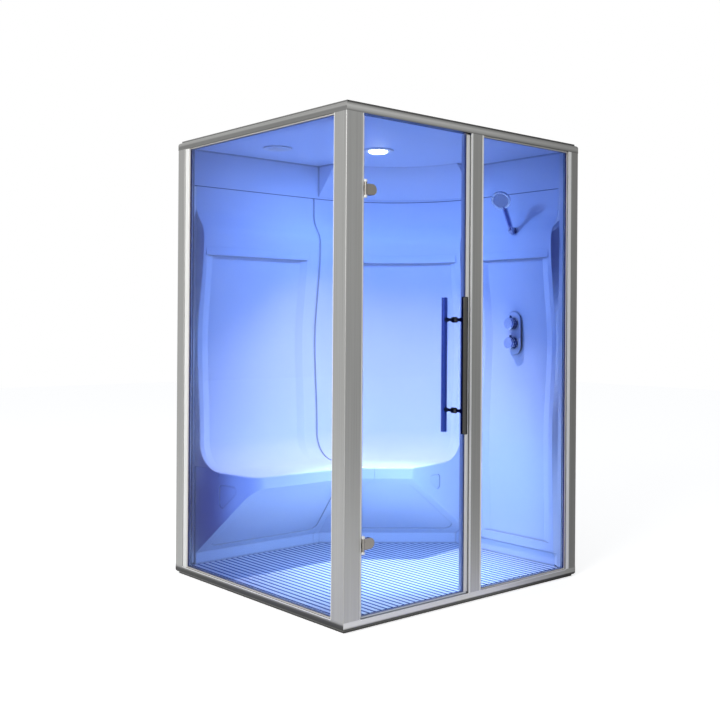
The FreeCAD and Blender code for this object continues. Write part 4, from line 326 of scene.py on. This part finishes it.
def polyetheneSlats():
    # Planed polyethene boards: pale and matt on top, with painted shade along their edges and on their sides,
    # so the grooves between them look dark.
    material, tree = newMaterial("polyetheneSlats")
    place = addNode(tree, "ShaderNodeTexCoord")
    grain = addNode(tree, "ShaderNodeTexNoise", {
        "Vector": place.outputs["Object"], "Scale": perMetre(slats["grainMm"]),
        "Detail": slats["grainDetail"]})
    tone = addNode(tree, "ShaderNodeMix", {"Factor": grain.outputs["Fac"], 6: linear(slats["shadeColour"]),
                                           7: linear(slats["colour"])}, data_type="RGBA")
    axes = addNode(tree, "ShaderNodeSeparateXYZ", {"Vector": place.outputs["Object"]})
    # painted shade: below the slats' top their sides turn dark blue, as the shade down in the grooves
    skinFoot = (slats["topMm"] - slats["skinMm"]) * mm
    below = addNode(tree, "ShaderNodeMath", {0: axes.outputs["Z"], 1: skinFoot}, operation="LESS_THAN")
    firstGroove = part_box("floor_grating")[0][0] - slats["grooveMm"] * mm / 2
    across = addNode(tree, "ShaderNodeMath", {0: axes.outputs["X"], 1: firstGroove}, operation="SUBTRACT")
    apart = addNode(tree, "ShaderNodeMath", {0: across.outputs[0], 1: slats["pitchMm"] * mm / 2},
                    operation="PINGPONG")
    # painted shade along the top of each slat beside a groove, fading inwards
    edgeShade = addNode(tree, "ShaderNodeMapRange", {
        "Value": apart.outputs[0], "From Min": slats["edgeShadeMm"][0] * mm, "From Max": slats["edgeShadeMm"][1] * mm,
        "To Min": 1.0, "To Max": 0.0})
    edgeShaded = addNode(tree, "ShaderNodeMix", {"Factor": edgeShade.outputs["Result"], 6: tone.outputs[2],
                                            7: linear(slats["edgeShadeColour"])}, data_type="RGBA")
    shaded = addNode(tree, "ShaderNodeMix", {"Factor": below.outputs[0], 6: edgeShaded.outputs[2],
                                             7: linear(slats["grooveShadeColour"])}, data_type="RGBA")
    bump = addNode(tree, "ShaderNodeBump", {"Height": grain.outputs["Fac"], "Strength": slats["grainBump"],
                                            "Distance": slats["grainBumpMm"] * mm})
    board = addNode(tree, "ShaderNodeBsdfPrincipled", {
        "Base Color": shaded.outputs[2], "Roughness": slats["roughness"], "IOR": slats["ior"],
        "Normal": bump.outputs["Normal"]})
    closeMaterial(tree, board.outputs["BSDF"])
    return material


lampGlow = {"colour": "#eef4ff", "shadeColour": "#e8eeff", "strength": 9.0, "cloudMm": 30.0,
            "roughness": 0.35}


def opalDiffuser():
    # Opal acrylic over a ring of diodes: an even white glow.
    material, tree = newMaterial("opalDiffuser")
    place = addNode(tree, "ShaderNodeTexCoord")
    cloud = addNode(tree, "ShaderNodeTexNoise", {"Vector": place.outputs["Object"],
                                                 "Scale": perMetre(lampGlow["cloudMm"])})
    tone = addNode(tree, "ShaderNodeMix", {"Factor": cloud.outputs["Fac"], 6: linear(lampGlow["shadeColour"]),
                                           7: linear(lampGlow["colour"])}, data_type="RGBA")
    opal = addNode(tree, "ShaderNodeBsdfPrincipled", {
        "Base Color": tone.outputs[2], "Roughness": lampGlow["roughness"],
        "Emission Color": linear(lampGlow["colour"]), "Emission Strength": lampGlow["strength"]})
    closeMaterial(tree, opal.outputs["BSDF"])
    return material


# metals: colour, roughness, how much handling dulls it, size of the smudges in mm
# plastics: colour, shade, roughness, size of the orange peel in mm, its strength
materialOfSlot = {
    "cast_aluminium": plainMetal("castAluminium", "#9a9a99", 0.5, 0.15, 12),  # die cast: dull, uneven
    "white_plastic": mouldedPlastic("whiteNylon", "#f3f3f1", "#eaeae6", 0.3, 5, 0.05),  # moulded: soft shine
    "glazing_rubber": mouldedPlastic("palePvcGasket", "#dcd9d2", "#cfccc4", 0.5, 4, 0.1),  # extruded: matt
    "clear_seal": mouldedPlastic("clearPvcSeal", "#dfe4ea", "#ccd3dc", 0.3, 6, 0.05),  # extruded: cold, pale
    "glass": toughenedGlass(),
    "white_acrylic": vacuumFormedAcrylic(),
    "slatted_floor": polyetheneSlats(),
    "outer_panel": mouldedPlastic("compositeSheet", "#c9cac9", "#c0c1c0", 0.5, 3, 0.06),  # coated: flat grey
    "stainless_steel": plainMetal("brushedStainlessSteel", "#b5b5b3", 0.3, 0.12, 8),  # brushed: broken sheen
    "chrome": plainMetal("polishedChrome", "#8b8781", 0.2, 0.1, 20),  # plated: dark reflections
    "chromed_plastic": plainMetal("chromePlatedAbs", "#b4bbd0", 0.12, 0.08, 20),  # plated moulding: bright
    "spray_rubber": mouldedPlastic("paleSilicone", "#e3e8f2", "#d6dcea", 0.5, 2, 0.1),  # moulded: matt, pale
    "opal_diffuser": opalDiffuser(),
    "circuit_board": mouldedPlastic("whiteCircuitBoard", "#e6e9e6", "#d9ddd9", 0.5, 3, 0.05),  # coated: matt
    "brass": plainMetal("castBrass", "#c0a35c", 0.35, 0.15, 10),  # cast: warm and dull
    "copper": plainMetal("drawnCopper", "#b97a56", 0.28, 0.15, 15),  # drawn: warm and bright
}
# dark grey for the nozzles, and for the roof seam, where it also stands for the shade in the gap
greyJointAndGapShade = mouldedPlastic("greySiliconeJoint", "#565c6c", "#4c5262", 0.5, 3, 0.1)  # tooled: dark, matt
smokedChrome = plainMetal("smokedChrome", "#aab4d6", 0.1, 0.08, 20)  # plated sleeve: a cold mirror
platedKnob = chromePlatedKnob()
barMaterials = [anodisedAluminium(axis) for axis in range(3)]
materialOfNode = {
    "pull_bar_outer": plainMetal("blackChrome", "#4b4a48", 0.12, 0.08, 20),  # plated bar: dark mirror
    "pull_bar_inner": plainMetal("satinChrome", "#c9d0e4", 0.2, 0.1, 20),  # satin plate: takes the blue
    "pull_feet": plainMetal("blackChromeFeet", "#3c3c3d", 0.15, 0.1, 15),  # turned and plated: dark
    "valve_plate": materialOfSlot["white_acrylic"],
    "knob_upper": platedKnob,
    "knob_lower": platedKnob,
}


def barAxis(node):
    low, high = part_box(node)
    spans = [b - a for a, b in zip(low, high)]
    return spans.index(max(spans))


# the frame's bars are in neither table: each takes the aluminium whose die lines run along it
for part in frame["record"]["subparts"]:
    node = part["node"]
    slotName = part["material_slot"]
    material = materialOfNode.get(node) or materialOfSlot.get(slotName) or barMaterials[barAxis(node)]
    for materialSlot in nodes[node].material_slots:
        materialSlot.material = material
print("materials")


# fine pieces that the frame's parts don't have


def addPiece(name, points, faces, slotName, body="cabin", material=None):
    mesh = bpy.data.meshes.new(name)
    mesh.from_pydata([tuple(point) for point in points], [], faces)
    shape = bmesh.new()
    shape.from_mesh(mesh)
    bmesh.ops.recalc_face_normals(shape, faces=shape.faces)
    shape.to_mesh(mesh)
    shape.free()
    mesh.materials.append(material or materialOfSlot[slotName])
    piece = bpy.data.objects.new(name, mesh)
    scene.collection.objects.link(piece)
    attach(piece, body)


def ringFaces(rings, sides):
    # faces between neighbouring rings of points, and one over each end
    faces = []
    for first in range(0, (rings - 1) * sides, sides):
        for s in range(sides):
            after = (s + 1) % sides
            faces.append([first + s, first + after, first + sides + after, first + sides + s])
    return faces + [list(range(sides)), list(range((rings - 1) * sides, rings * sides))]


def strip(name, stations, slotName, body="cabin", material=None):
    # a strip through ready-made cross-sections, one list of points at each station
    points = [point for station in stations for point in station]
    addPiece(name, points, ringFaces(len(stations), len(stations[0])), slotName, body, material)


def block(name, low, high, slotName, body="cabin"):
    stations = [[(low[0], low[1], z), (high[0], low[1], z), (high[0], high[1], z), (low[0], high[1], z)]
                for z in (low[2], high[2])]
    strip(name, stations, slotName, body)


def around(across, beside, step, steps):
    # the way square to an axis, after some steps of a full turn
    angle = 2 * math.pi * step / steps
    return across * math.cos(angle) + beside * math.sin(angle)


turnedSides = 24  # corners round a turned piece


def turned(name, start, axis, profile, slotName, body="cabin", material=None):
    # a round piece about an axis: profile gives (distance along it, radius)
    axis = Vector(axis).normalized()
    across = axis.orthogonal().normalized()
    beside = axis.cross(across)
    points = [Vector(start) + axis * along + around(across, beside, s, turnedSides) * radius
              for along, radius in profile for s in range(turnedSides)]
    addPiece(name, points, ringFaces(len(profile), turnedSides), slotName, body, material)


def spread(low, high, steps):
    return [low + (high - low) * step / steps for step in range(steps + 1)]


def surfaceOf(*names):
    points, faces = [], []
    for name in names:
        mesh = nodes[name].data
        first = len(points)
        points += [vertex.co.copy() for vertex in mesh.vertices]
        faces += [[first + index for index in face.vertices] for face in mesh.polygons]
    return BVHTree.FromPolygons(points, faces)


walls = surfaceOf("wall_back", "wall_corner", "wall_right")


def wallPoint(start, way, height):
    return walls.ray_cast(Vector((start[0], start[1], height)), way)[0]


# the upright lining in plan; midX is a place inside, from which the right wall is looked up
lining = {"backY": 0.600, "rightX": 0.700, "cornerX": 0.100, "cornerY": 0.0, "radius": 0.600, "leftX": -0.684,
          "frontY": -0.566, "midX": 0.3, "roundSteps": 24}


def alongLining():
    # stations round the walls: a point on the upright lining and the way into the cabin
    centre = Vector((lining["cornerX"], lining["cornerY"], 0))
    stations = [(Vector((x, lining["backY"], 0)), Vector((0, -1, 0)))
                for x in (lining["leftX"], lining["cornerX"])]
    for step in range(1, lining["roundSteps"]):
        angle = math.pi / 2 * step / lining["roundSteps"]
        way = Vector((math.sin(angle), math.cos(angle), 0))
        stations.append((centre + way * lining["radius"], -way))
    stations += [(Vector((lining["rightX"], y, 0)), Vector((-1, 0, 0)))
                 for y in (lining["cornerY"], lining["frontY"])]
    return stations


roofSeam = {"height": 1.925, "gapMm": 2.6, "proudMm": 0.8, "sunkMm": 2.0}


def makeRoofSeam():
    # the sealed joint between the walls and the ceiling moulding, drawn dark grey so that it also stands for
    # the shade in the gap
    half = roofSeam["gapMm"] * mm / 2
    stations = []
    for place, way in alongLining():
        inner = place + way * roofSeam["proudMm"] * mm
        outer = place - way * roofSeam["sunkMm"] * mm
        stations.append([point + Vector((0, 0, roofSeam["height"] + lift)) for point, lift in
                         ((inner, -half), (inner, half), (outer, half), (outer, -half))])
    strip("roofSeam", stations, "glazing_rubber", material=greyJointAndGapShade)


# the sunk fields reach over this x on the back wall, degrees round the corner and y on the right wall
fieldLip = {"backX": (-0.651, -0.014), "cornerDegrees": (11, 82), "rightY": (-0.552, -0.1), "steps": 18,
            "topHeight": 1.622, "footHeight": 1.581, "proudMm": 4.5, "flushMm": 0.4, "sunkMm": 5.0,
            "roundShare": 0.12, "fadeSteps": 3}


def makeFieldLip(name, starts):
    # the rounded lip over a sunk field of the wall, which catches the lamp
    stations = []
    for place, (start, way) in enumerate(starts):
        # the lip fades into the wall at both ends
        fade = min(place, len(starts) - 1 - place, fieldLip["fadeSteps"]) / fieldLip["fadeSteps"]
        proud = (fieldLip["flushMm"] + fieldLip["proudMm"] * fade) * mm
        top = wallPoint(start, way, fieldLip["topHeight"])
        foot = Vector((top.x, top.y, fieldLip["footHeight"])) - way * proud
        back = foot + way * (proud + fieldLip["sunkMm"] * mm)
        stations.append([top, foot.lerp(top, fieldLip["roundShare"]), foot, back,
                         top + way * fieldLip["sunkMm"] * mm])
    strip(name, stations, "white_acrylic")


def makeFieldLips():
    steps = fieldLip["steps"]
    centre = (lining["cornerX"], lining["cornerY"])
    turns = [math.radians(degrees) for degrees in spread(*fieldLip["cornerDegrees"], steps)]
    starts = {
        "Back": [((x, 0), Vector((0, 1, 0))) for x in spread(*fieldLip["backX"], steps)],
        "Corner": [(centre, Vector((math.sin(turn), math.cos(turn), 0))) for turn in turns],
        "Right": [((lining["midX"], y), Vector((1, 0, 0))) for y in spread(*fieldLip["rightY"], steps)]}
    for wall, places in starts.items():
        makeFieldLip("fieldLip" + wall, places)


wallEnd = {"backX": -0.675, "leanShare": 0.1425, "foot": 0.53, "head": 1.835, "steps": 40, "thickMm": 2.0,
           "insideMm": 14.0}


def makeWallEnd():
    # the return that closes the back wall's hollow towards the side pane
    stations = []
    back, backX, thick = lining["backY"] + mm, wallEnd["backX"], wallEnd["thickMm"] * mm
    for height in spread(wallEnd["foot"], wallEnd["head"], wallEnd["steps"]):
        front = wallPoint((backX + wallEnd["insideMm"] * mm, 0), Vector((0, 1, 0)), height).y + mm
        frontX = backX + wallEnd["leanShare"] * (back - front)
        section = [(frontX - thick, front), (frontX, front), (backX, back), (backX - thick, back)]
        stations.append([(x, y, height) for x, y in section])
    strip("wallEnd", stations, "white_plastic")


wallFiller = {"foot": 0.05, "head": 1.92, "steps": 60, "wallY": -0.568, "endY": -0.572, "postFace": 0.6728,
              "postBack": -0.597, "deepX": 0.699, "plinthLow": (0.690, 0.048, 0.03),
              "plinthHigh": (0.706, 0.112, 0.13),
              "leftSection": ((-0.722, 0.5848), (-0.6755, 0.5985), (-0.6755, 0.603), (-0.722, 0.590))}


def makeWallFillers():
    # pale strips that close the joints between the lining's two ends and the posts
    stations = []
    deep, end, post = wallFiller["deepX"], wallFiller["endY"], wallFiller["postBack"]
    for height in spread(wallFiller["foot"], wallFiller["head"], wallFiller["steps"]):
        edge = min(wallPoint((lining["midX"], wallFiller["wallY"]), Vector((1, 0, 0)), height).x, deep - mm)
        section = [(edge, end), (wallFiller["postFace"], post), (deep, post), (deep, end)]
        stations.append([(x, y, height) for x, y in section])
    strip("fillerRight", stations, "white_plastic")
    ends = (wallFiller["foot"], wallFiller["head"])
    strip("fillerLeft", [[(x, y, height) for x, y in wallFiller["leftSection"]] for height in ends],
          "white_plastic")
    # the plinth's return under the corner seat
    block("fillerPlinth", wallFiller["plinthLow"], wallFiller["plinthHigh"], "white_acrylic")


edgeTrimAndHighlight = {"wideMm": 3.4, "hingeMm": 4.0, "latchMm": 10.0, "paneMm": 9.0, "rightMm": 22.0, "proudMm": 0.7,
            "footMm": 44.0, "headMm": 2096.0}


def makeEdgeTrimsAndHighlights():
    # pale glazing beads that finish the frame's edges beside the glass; they also serve as painted highlights
    # along those edges
    wide, proud = edgeTrimAndHighlight["wideMm"] * mm, edgeTrimAndHighlight["proudMm"] * mm
    foot, head = edgeTrimAndHighlight["footMm"] * mm, edgeTrimAndHighlight["headMm"] * mm
    front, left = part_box("mullion")[0][1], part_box("post_front_left")[0][0]
    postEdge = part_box("post_front_left")[1]
    mullion = [corner[0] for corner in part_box("mullion")]
    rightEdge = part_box("post_front_right")[0][0]
    uprights = {"trimHighlightHinge": (postEdge[0] - edgeTrimAndHighlight["hingeMm"] * mm, postEdge[0]),
                "trimHighlightLatch": (mullion[0], mullion[0] + edgeTrimAndHighlight["latchMm"] * mm),
                "trimHighlightPane": (mullion[1] - edgeTrimAndHighlight["paneMm"] * mm, mullion[1]),
                "trimHighlightRight": (rightEdge, rightEdge + edgeTrimAndHighlight["rightMm"] * mm)}
    for name, (start, end) in uprights.items():
        block(name, (start, front - proud, foot), (end, front, head), "white_plastic")
    block("trimHighlightLeft", (left - proud, postEdge[1] - wide, foot), (left, postEdge[1], head), "white_plastic")
    sills = {"sillDoor": (postEdge[0], mullion[0]), "sillPane": (mullion[1], rightEdge)}
    for name, (start, end) in sills.items():
        block(name, (start, front - proud, foot - wide), (end, front, foot), "white_plastic")
    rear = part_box("post_rear_left")[0][1]
    block("sillLeft", (left - proud, postEdge[1], foot - wide), (left, rear, foot), "white_plastic")


sealLip = {"leftX": -0.045, "proudMm": 1.2}


def makeSealLip():
    # the latch seal's outer lip, which grips the edge of the door's glass
    low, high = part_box("door_seal_latch")
    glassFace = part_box("door_glass")[0][1]
    front = glassFace - sealLip["proudMm"] * mm
    block("sealLip", (sealLip["leftX"], front, low[2]), (high[0], glassFace, high[2]), "white_plastic",
          "door")


innerCover = {"thickMm": 1.2, "frontY": -0.619, "footMm": 46.0, "headMm": 2094.0}


def makeInnerCovers():
    # white cover strips on the sides of the frame that face the cabin
    thick = innerCover["thickMm"] * mm
    for name, node in (("coverMullion", "mullion"), ("coverRight", "post_front_right")):
        face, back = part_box(node)[0][0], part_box(node)[1][1]
        block(name, (face - thick, innerCover["frontY"], innerCover["footMm"] * mm),
              (face, back, innerCover["headMm"] * mm), "white_plastic")


hingeCap = {"place": (-0.653, -0.656), "heights": (0.345, 1.790), "reachMm": 27.0, "longMm": 11.0,
            "radiusMm": 7.2, "bevelMm": 2.0}


def makeHingeCaps():
    # pale moulded caps on the ends of the hinge barrels
    radius, bevel = hingeCap["radiusMm"] * mm, hingeCap["bevelMm"] * mm
    long = hingeCap["longMm"] * mm
    profile = [(0, radius), (long - bevel, radius), (long, radius - bevel)]
    for level, height in zip(("Low", "High"), hingeCap["heights"]):
        for end, hand in (("Foot", -1), ("Head", 1)):
            start = (*hingeCap["place"], height + hand * hingeCap["reachMm"] * mm)
            turned("hingeCap" + level + end, start, (0, 0, hand), profile, "white_plastic")


knobCollar = {"fromWallMm": 2.0, "longMm": 20.0, "lowMm": 31.3, "highMm": 33.0, "flutes": 14,
              "flutePoints": 4}


def makeKnobCollars():
    # fluted chrome grips round the foot of each knob
    each = knobCollar["flutePoints"]
    count = each * knobCollar["flutes"]
    for level in ("upper", "lower"):
        low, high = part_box("knob_" + level)
        centre = [(low[1] + high[1]) / 2, (low[2] + high[2]) / 2]
        stations = []
        for along in (knobCollar["fromWallMm"], knobCollar["fromWallMm"] + knobCollar["longMm"]):
            ring = []
            for s in range(count):
                angle = 2 * math.pi * s / count
                radius = knobCollar["highMm" if s % each < each / 2 else "lowMm"] * mm
                ring.append((high[0] - along * mm, centre[0] + radius * math.cos(angle),
                             centre[1] + radius * math.sin(angle)))
            stations.append(ring)
        strip("collar" + level.capitalize(), stations, "chromed_plastic", level + "_knob", platedKnob)


handGrip = {"pivot": (0.63, -0.325, 1.725), "leanDegrees": 26.0,
            "profileMm": ((22, 11.6), (26, 13.2), (70, 14.0), (118, 13.4), (122, 12.8))}


def makeHandGrip():
    # the chromed sleeve of the shower's handle
    lean = math.radians(handGrip["leanDegrees"])
    profile = [(along * mm, radius * mm) for along, radius in handGrip["profileMm"]]
    turned("handGrip", handGrip["pivot"], (-math.sin(lean), 0, math.cos(lean)), profile, "chromed_plastic",
           "shower", smokedChrome)


# each ring: (radius in mm, nozzles on it)
sprayNozzle = {"rings": ((0, 1), (12, 6), (23, 12), (34, 18)), "radiusMm": 1.6, "proudMm": 1.2, "sunkMm": 1.0,
               "sides": 8, "turnSteps": 180, "tiltSteps": 120, "tiltReach": 1.5, "everyPoint": 5}


def makeSprayNozzles():
    # soft nozzles in rings over the spray face
    points = [vertex.co for vertex in nodes["shower_spray_face"].data.vertices]
    centre = sum(points, Vector()) / len(points)
    # the face is a thin disc, so its axis is the way in which its points spread least
    ways = [Vector((math.cos(a) * math.cos(e), math.sin(a) * math.cos(e), math.sin(e)))
            for a in spread(math.pi / 2, 3 * math.pi / 2, sprayNozzle["turnSteps"])
            for e in spread(-sprayNozzle["tiltReach"], sprayNozzle["tiltReach"], sprayNozzle["tiltSteps"])]
    some = points[::sprayNozzle["everyPoint"]]
    axis = min(ways, key=lambda way: sum(abs((point - centre).dot(way)) for point in some))
    face = max((point - centre).dot(axis) for point in points)
    across = axis.orthogonal().normalized()
    beside = axis.cross(across)
    sides = sprayNozzle["sides"]
    corners, faces = [], []
    for reach, count in sprayNozzle["rings"]:
        for n in range(count):
            middle = centre + around(across, beside, n, count) * reach * mm
            first = len(corners)
            for along in (face - sprayNozzle["sunkMm"] * mm, face + sprayNozzle["proudMm"] * mm):
                for s in range(sides):
                    outward = around(across, beside, s, sides) * sprayNozzle["radiusMm"] * mm
                    corners.append(middle + axis * along + outward)
            faces += [[first + index for index in ring] for ring in ringFaces(2, sides)]
    addPiece("sprayNozzles", corners, faces, "spray_rubber", "shower", greyJointAndGapShade)


makeRoofSeam()
makeFieldLips()
makeWallEnd()
makeWallFillers()
makeEdgeTrimsAndHighlights()
makeSealLip()
makeInnerCovers()
makeHingeCaps()
makeKnobCollars()
makeHandGrip()
makeSprayNozzles()
print("fine pieces")

# floor, light and camera

studio = {"white": "#ffffff", "skyColour": "#f6f8fb", "worldStrength": 0.45, "floorColour": "#f4f4f4",
          "floorSize": 30.0, "floorRoughness": 0.9, "floorLift": 0.6, "dimFrom": 0.3, "dimTo": 0.85,
          "dimLevel": 0.2, "keyPower": 150.0, "keyPlace": (-4.6, -1.2, 3.2), "fillPower": 12.0,
          "fillPlace": (2.5, -5.0, 2.6), "aim": (0, 0, 1.0), "softboxSize": 3.5}


def dimSide(tree, output):
    # The studio is darker towards the right, which only the mirroring metal and glass show.
    # Seen marks the rays that come from the camera or from a mirroring surface.
    place = addNode(tree, "ShaderNodeTexCoord")
    way = addNode(tree, "ShaderNodeVectorMath", {0: place.outputs[output]}, operation="NORMALIZE")
    apart = addNode(tree, "ShaderNodeSeparateXYZ", {"Vector": way.outputs["Vector"]})
    level = addNode(tree, "ShaderNodeMapRange", {"Value": apart.outputs["X"], "From Min": studio["dimFrom"],
                                                 "From Max": studio["dimTo"], "To Min": 1.0,
                                                 "To Max": studio["dimLevel"]})
    path = addNode(tree, "ShaderNodeLightPath")
    shown = addNode(tree, "ShaderNodeMix", {"Factor": path.outputs["Is Glossy Ray"], 2: 1.0,
                                            3: level.outputs["Result"]}, data_type="FLOAT")
    seen = addNode(tree, "ShaderNodeMath", {
        0: path.outputs["Is Camera Ray"], 1: path.outputs["Is Glossy Ray"]}, operation="MAXIMUM")
    return path, seen.outputs[0], shown.outputs[0]


def makeFloor():
    # A plain pale floor that runs out to the white background.
    mesh = bpy.data.meshes.new("studioFloor")
    half = studio["floorSize"] / 2
    corners = [(-half, -half, 0), (half, -half, 0), (half, half, 0), (-half, half, 0)]
    mesh.from_pydata(corners, [], [(0, 1, 2, 3)])
    floor = bpy.data.objects.new("studioFloor", mesh)
    scene.collection.objects.link(floor)
    material, tree = newMaterial("palePaintedFloor")
    seen, shown = dimSide(tree, "Object")[1:]
    tone = addNode(tree, "ShaderNodeMix", {"Factor": 1.0, 6: linear(studio["floorColour"]), 7: shown},
                   data_type="RGBA", blend_type="MULTIPLY")
    paint = addNode(tree, "ShaderNodeBsdfPrincipled", {
        "Base Color": tone.outputs[2], "Roughness": studio["floorRoughness"], "Specular IOR Level": 0.0})
    strength = addNode(tree, "ShaderNodeMath", {0: shown, 1: studio["floorLift"]}, operation="MULTIPLY")
    lift = addNode(tree, "ShaderNodeEmission", {
        "Color": linear(studio["white"]), "Strength": strength.outputs[0]})
    glow = addNode(tree, "ShaderNodeAddShader", {0: paint.outputs["BSDF"], 1: lift.outputs["Emission"]})
    mixed = addNode(tree, "ShaderNodeMixShader", {
        0: seen, 1: paint.outputs["BSDF"], 2: glow.outputs["Shader"]})
    closeMaterial(tree, mixed.outputs["Shader"])
    mesh.materials.append(material)


def makeWorld():
    # White where it is looked at, straight, in a mirror or through glass, and dimmer as a light.
    world = bpy.data.worlds.new("paleStudio")
    world.use_nodes = True
    tree = world.node_tree
    tree.nodes.clear()
    path, seen, shown = dimSide(tree, "Generated")
    through = addNode(tree, "ShaderNodeMath", {0: seen, 1: path.outputs["Is Transmission Ray"]},
                      operation="MAXIMUM")
    light = addNode(tree, "ShaderNodeBackground", {"Color": linear(studio["skyColour"]),
                                                   "Strength": studio["worldStrength"]})
    white = addNode(tree, "ShaderNodeBackground", {"Color": linear(studio["white"]), "Strength": shown})
    mixed = addNode(tree, "ShaderNodeMixShader", {0: through.outputs[0], 1: light.outputs["Background"],
                                                  2: white.outputs["Background"]})
    addNode(tree, "ShaderNodeOutputWorld", {"Surface": mixed.outputs["Shader"]})
    scene.world = world


def addLight(name, kind, power, colour, place, target, mirrored=False, **shape):
    data = bpy.data.lights.new(name, kind)
    data.energy = power
    data.color = linear(colour)[:3]
    for key, value in shape.items():
        setattr(data, key, value)
    lamp = bpy.data.objects.new(name, data)
    lamp.location = place
    lamp.rotation_euler = (Vector(target) - Vector(place)).to_track_quat("-Z", "Y").to_euler()
    lamp.visible_glossy = mirrored
    scene.collection.objects.link(lamp)
    return lamp


# powers in watts, spread and spot size in radians
cabinLamp = {"dropMm": 6.0, "glowPower": 8.2, "glowColour": "#7aa2ff", "beamPower": 4.9,
             "beamColour": "#fff4ff", "beamSpread": 1.5, "beamAim": (0.06, 0.05, 0), "spotPower": 68.0,
             "spotColour": "#c8faf6", "spotSize": 0.75, "spotBlend": 0.6, "spotAim": (-0.05, -0.3, 0)}
# the blue that the front and side panes throw back into the cabin
thrownGlow = {
    "benchGlow": {"power": 7.0, "colour": "#97bcff", "place": (-0.05, -0.5, 0.5), "aim": (0.22, 0.4, 0.25),
                  "across": 0.8, "upward": 0.5},
    "paneGlow": {"power": 5.0, "colour": "#7ca2ff", "place": (-0.68, -0.1, 1.1), "aim": (0.6, 0.05, 1.1),
                 "across": 0.9, "upward": 1.8}}


def makeLights():
    for name in ("key", "fill"):
        addLight(name + "Softbox", "AREA", studio[name + "Power"], studio["white"], studio[name + "Place"],
                 studio["aim"], mirrored=True, size=studio["softboxSize"])
    low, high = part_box("lamp_diffuser")
    middle = [(a + b) / 2 for a, b in zip(low, high)]
    place = (middle[0], middle[1], low[2] - cabinLamp["dropMm"] * mm)
    below = (place[0], place[1], 0)
    wide = high[0] - low[0]
    # blue diodes that fill the cabin, and a pale beam and a narrower spot for the seat and the floor
    addLight("cabinGlow", "AREA", cabinLamp["glowPower"], cabinLamp["glowColour"], place, below,
             shape="DISK", size=wide)
    addLight("cabinBeam", "AREA", cabinLamp["beamPower"], cabinLamp["beamColour"], place,
             cabinLamp["beamAim"], shape="DISK", size=wide, spread=cabinLamp["beamSpread"])
    addLight("cabinSpot", "SPOT", cabinLamp["spotPower"], cabinLamp["spotColour"], place,
             cabinLamp["spotAim"], spot_size=cabinLamp["spotSize"], spot_blend=cabinLamp["spotBlend"],
             shadow_soft_size=wide / 2)
    for name, glow in thrownGlow.items():
        lamp = addLight(name, "AREA", glow["power"], glow["colour"], glow["place"], glow["aim"],
                        shape="RECTANGLE", size=glow["across"], size_y=glow["upward"])
        lamp.visible_camera = False


# fitted to the corners of the frame and the glass in the photo; yaw and roll in radians
camera = {"place": (-3.3235, -3.7198, 1.2370), "yaw": -0.71225, "roll": 0.00705, "lensMm": 50.215,
          "sensorMm": 36.0, "shiftPixels": -35.016, "framePixels": 720.0, "farthest": 100}


def makeCamera():
    data = bpy.data.cameras.new("viewpoint")
    data.lens = camera["lensMm"]
    data.sensor_width = camera["sensorMm"]
    data.shift_y = camera["shiftPixels"] / camera["framePixels"]
    data.clip_end = camera["farthest"]
    eye = bpy.data.objects.new("viewpoint", data)
    turn = Matrix.Rotation(camera["yaw"], 4, "Z") @ Matrix.Rotation(math.pi / 2, 4, "X")
    eye.matrix_world = Matrix.Translation(camera["place"]) @ turn @ Matrix.Rotation(camera["roll"], 4, "Z")
    scene.collection.objects.link(eye)
    scene.camera = eye


makeFloor()
makeWorld()
makeLights()
makeCamera()
scene.view_settings.view_transform = "Standard"
print("stage, light and camera")
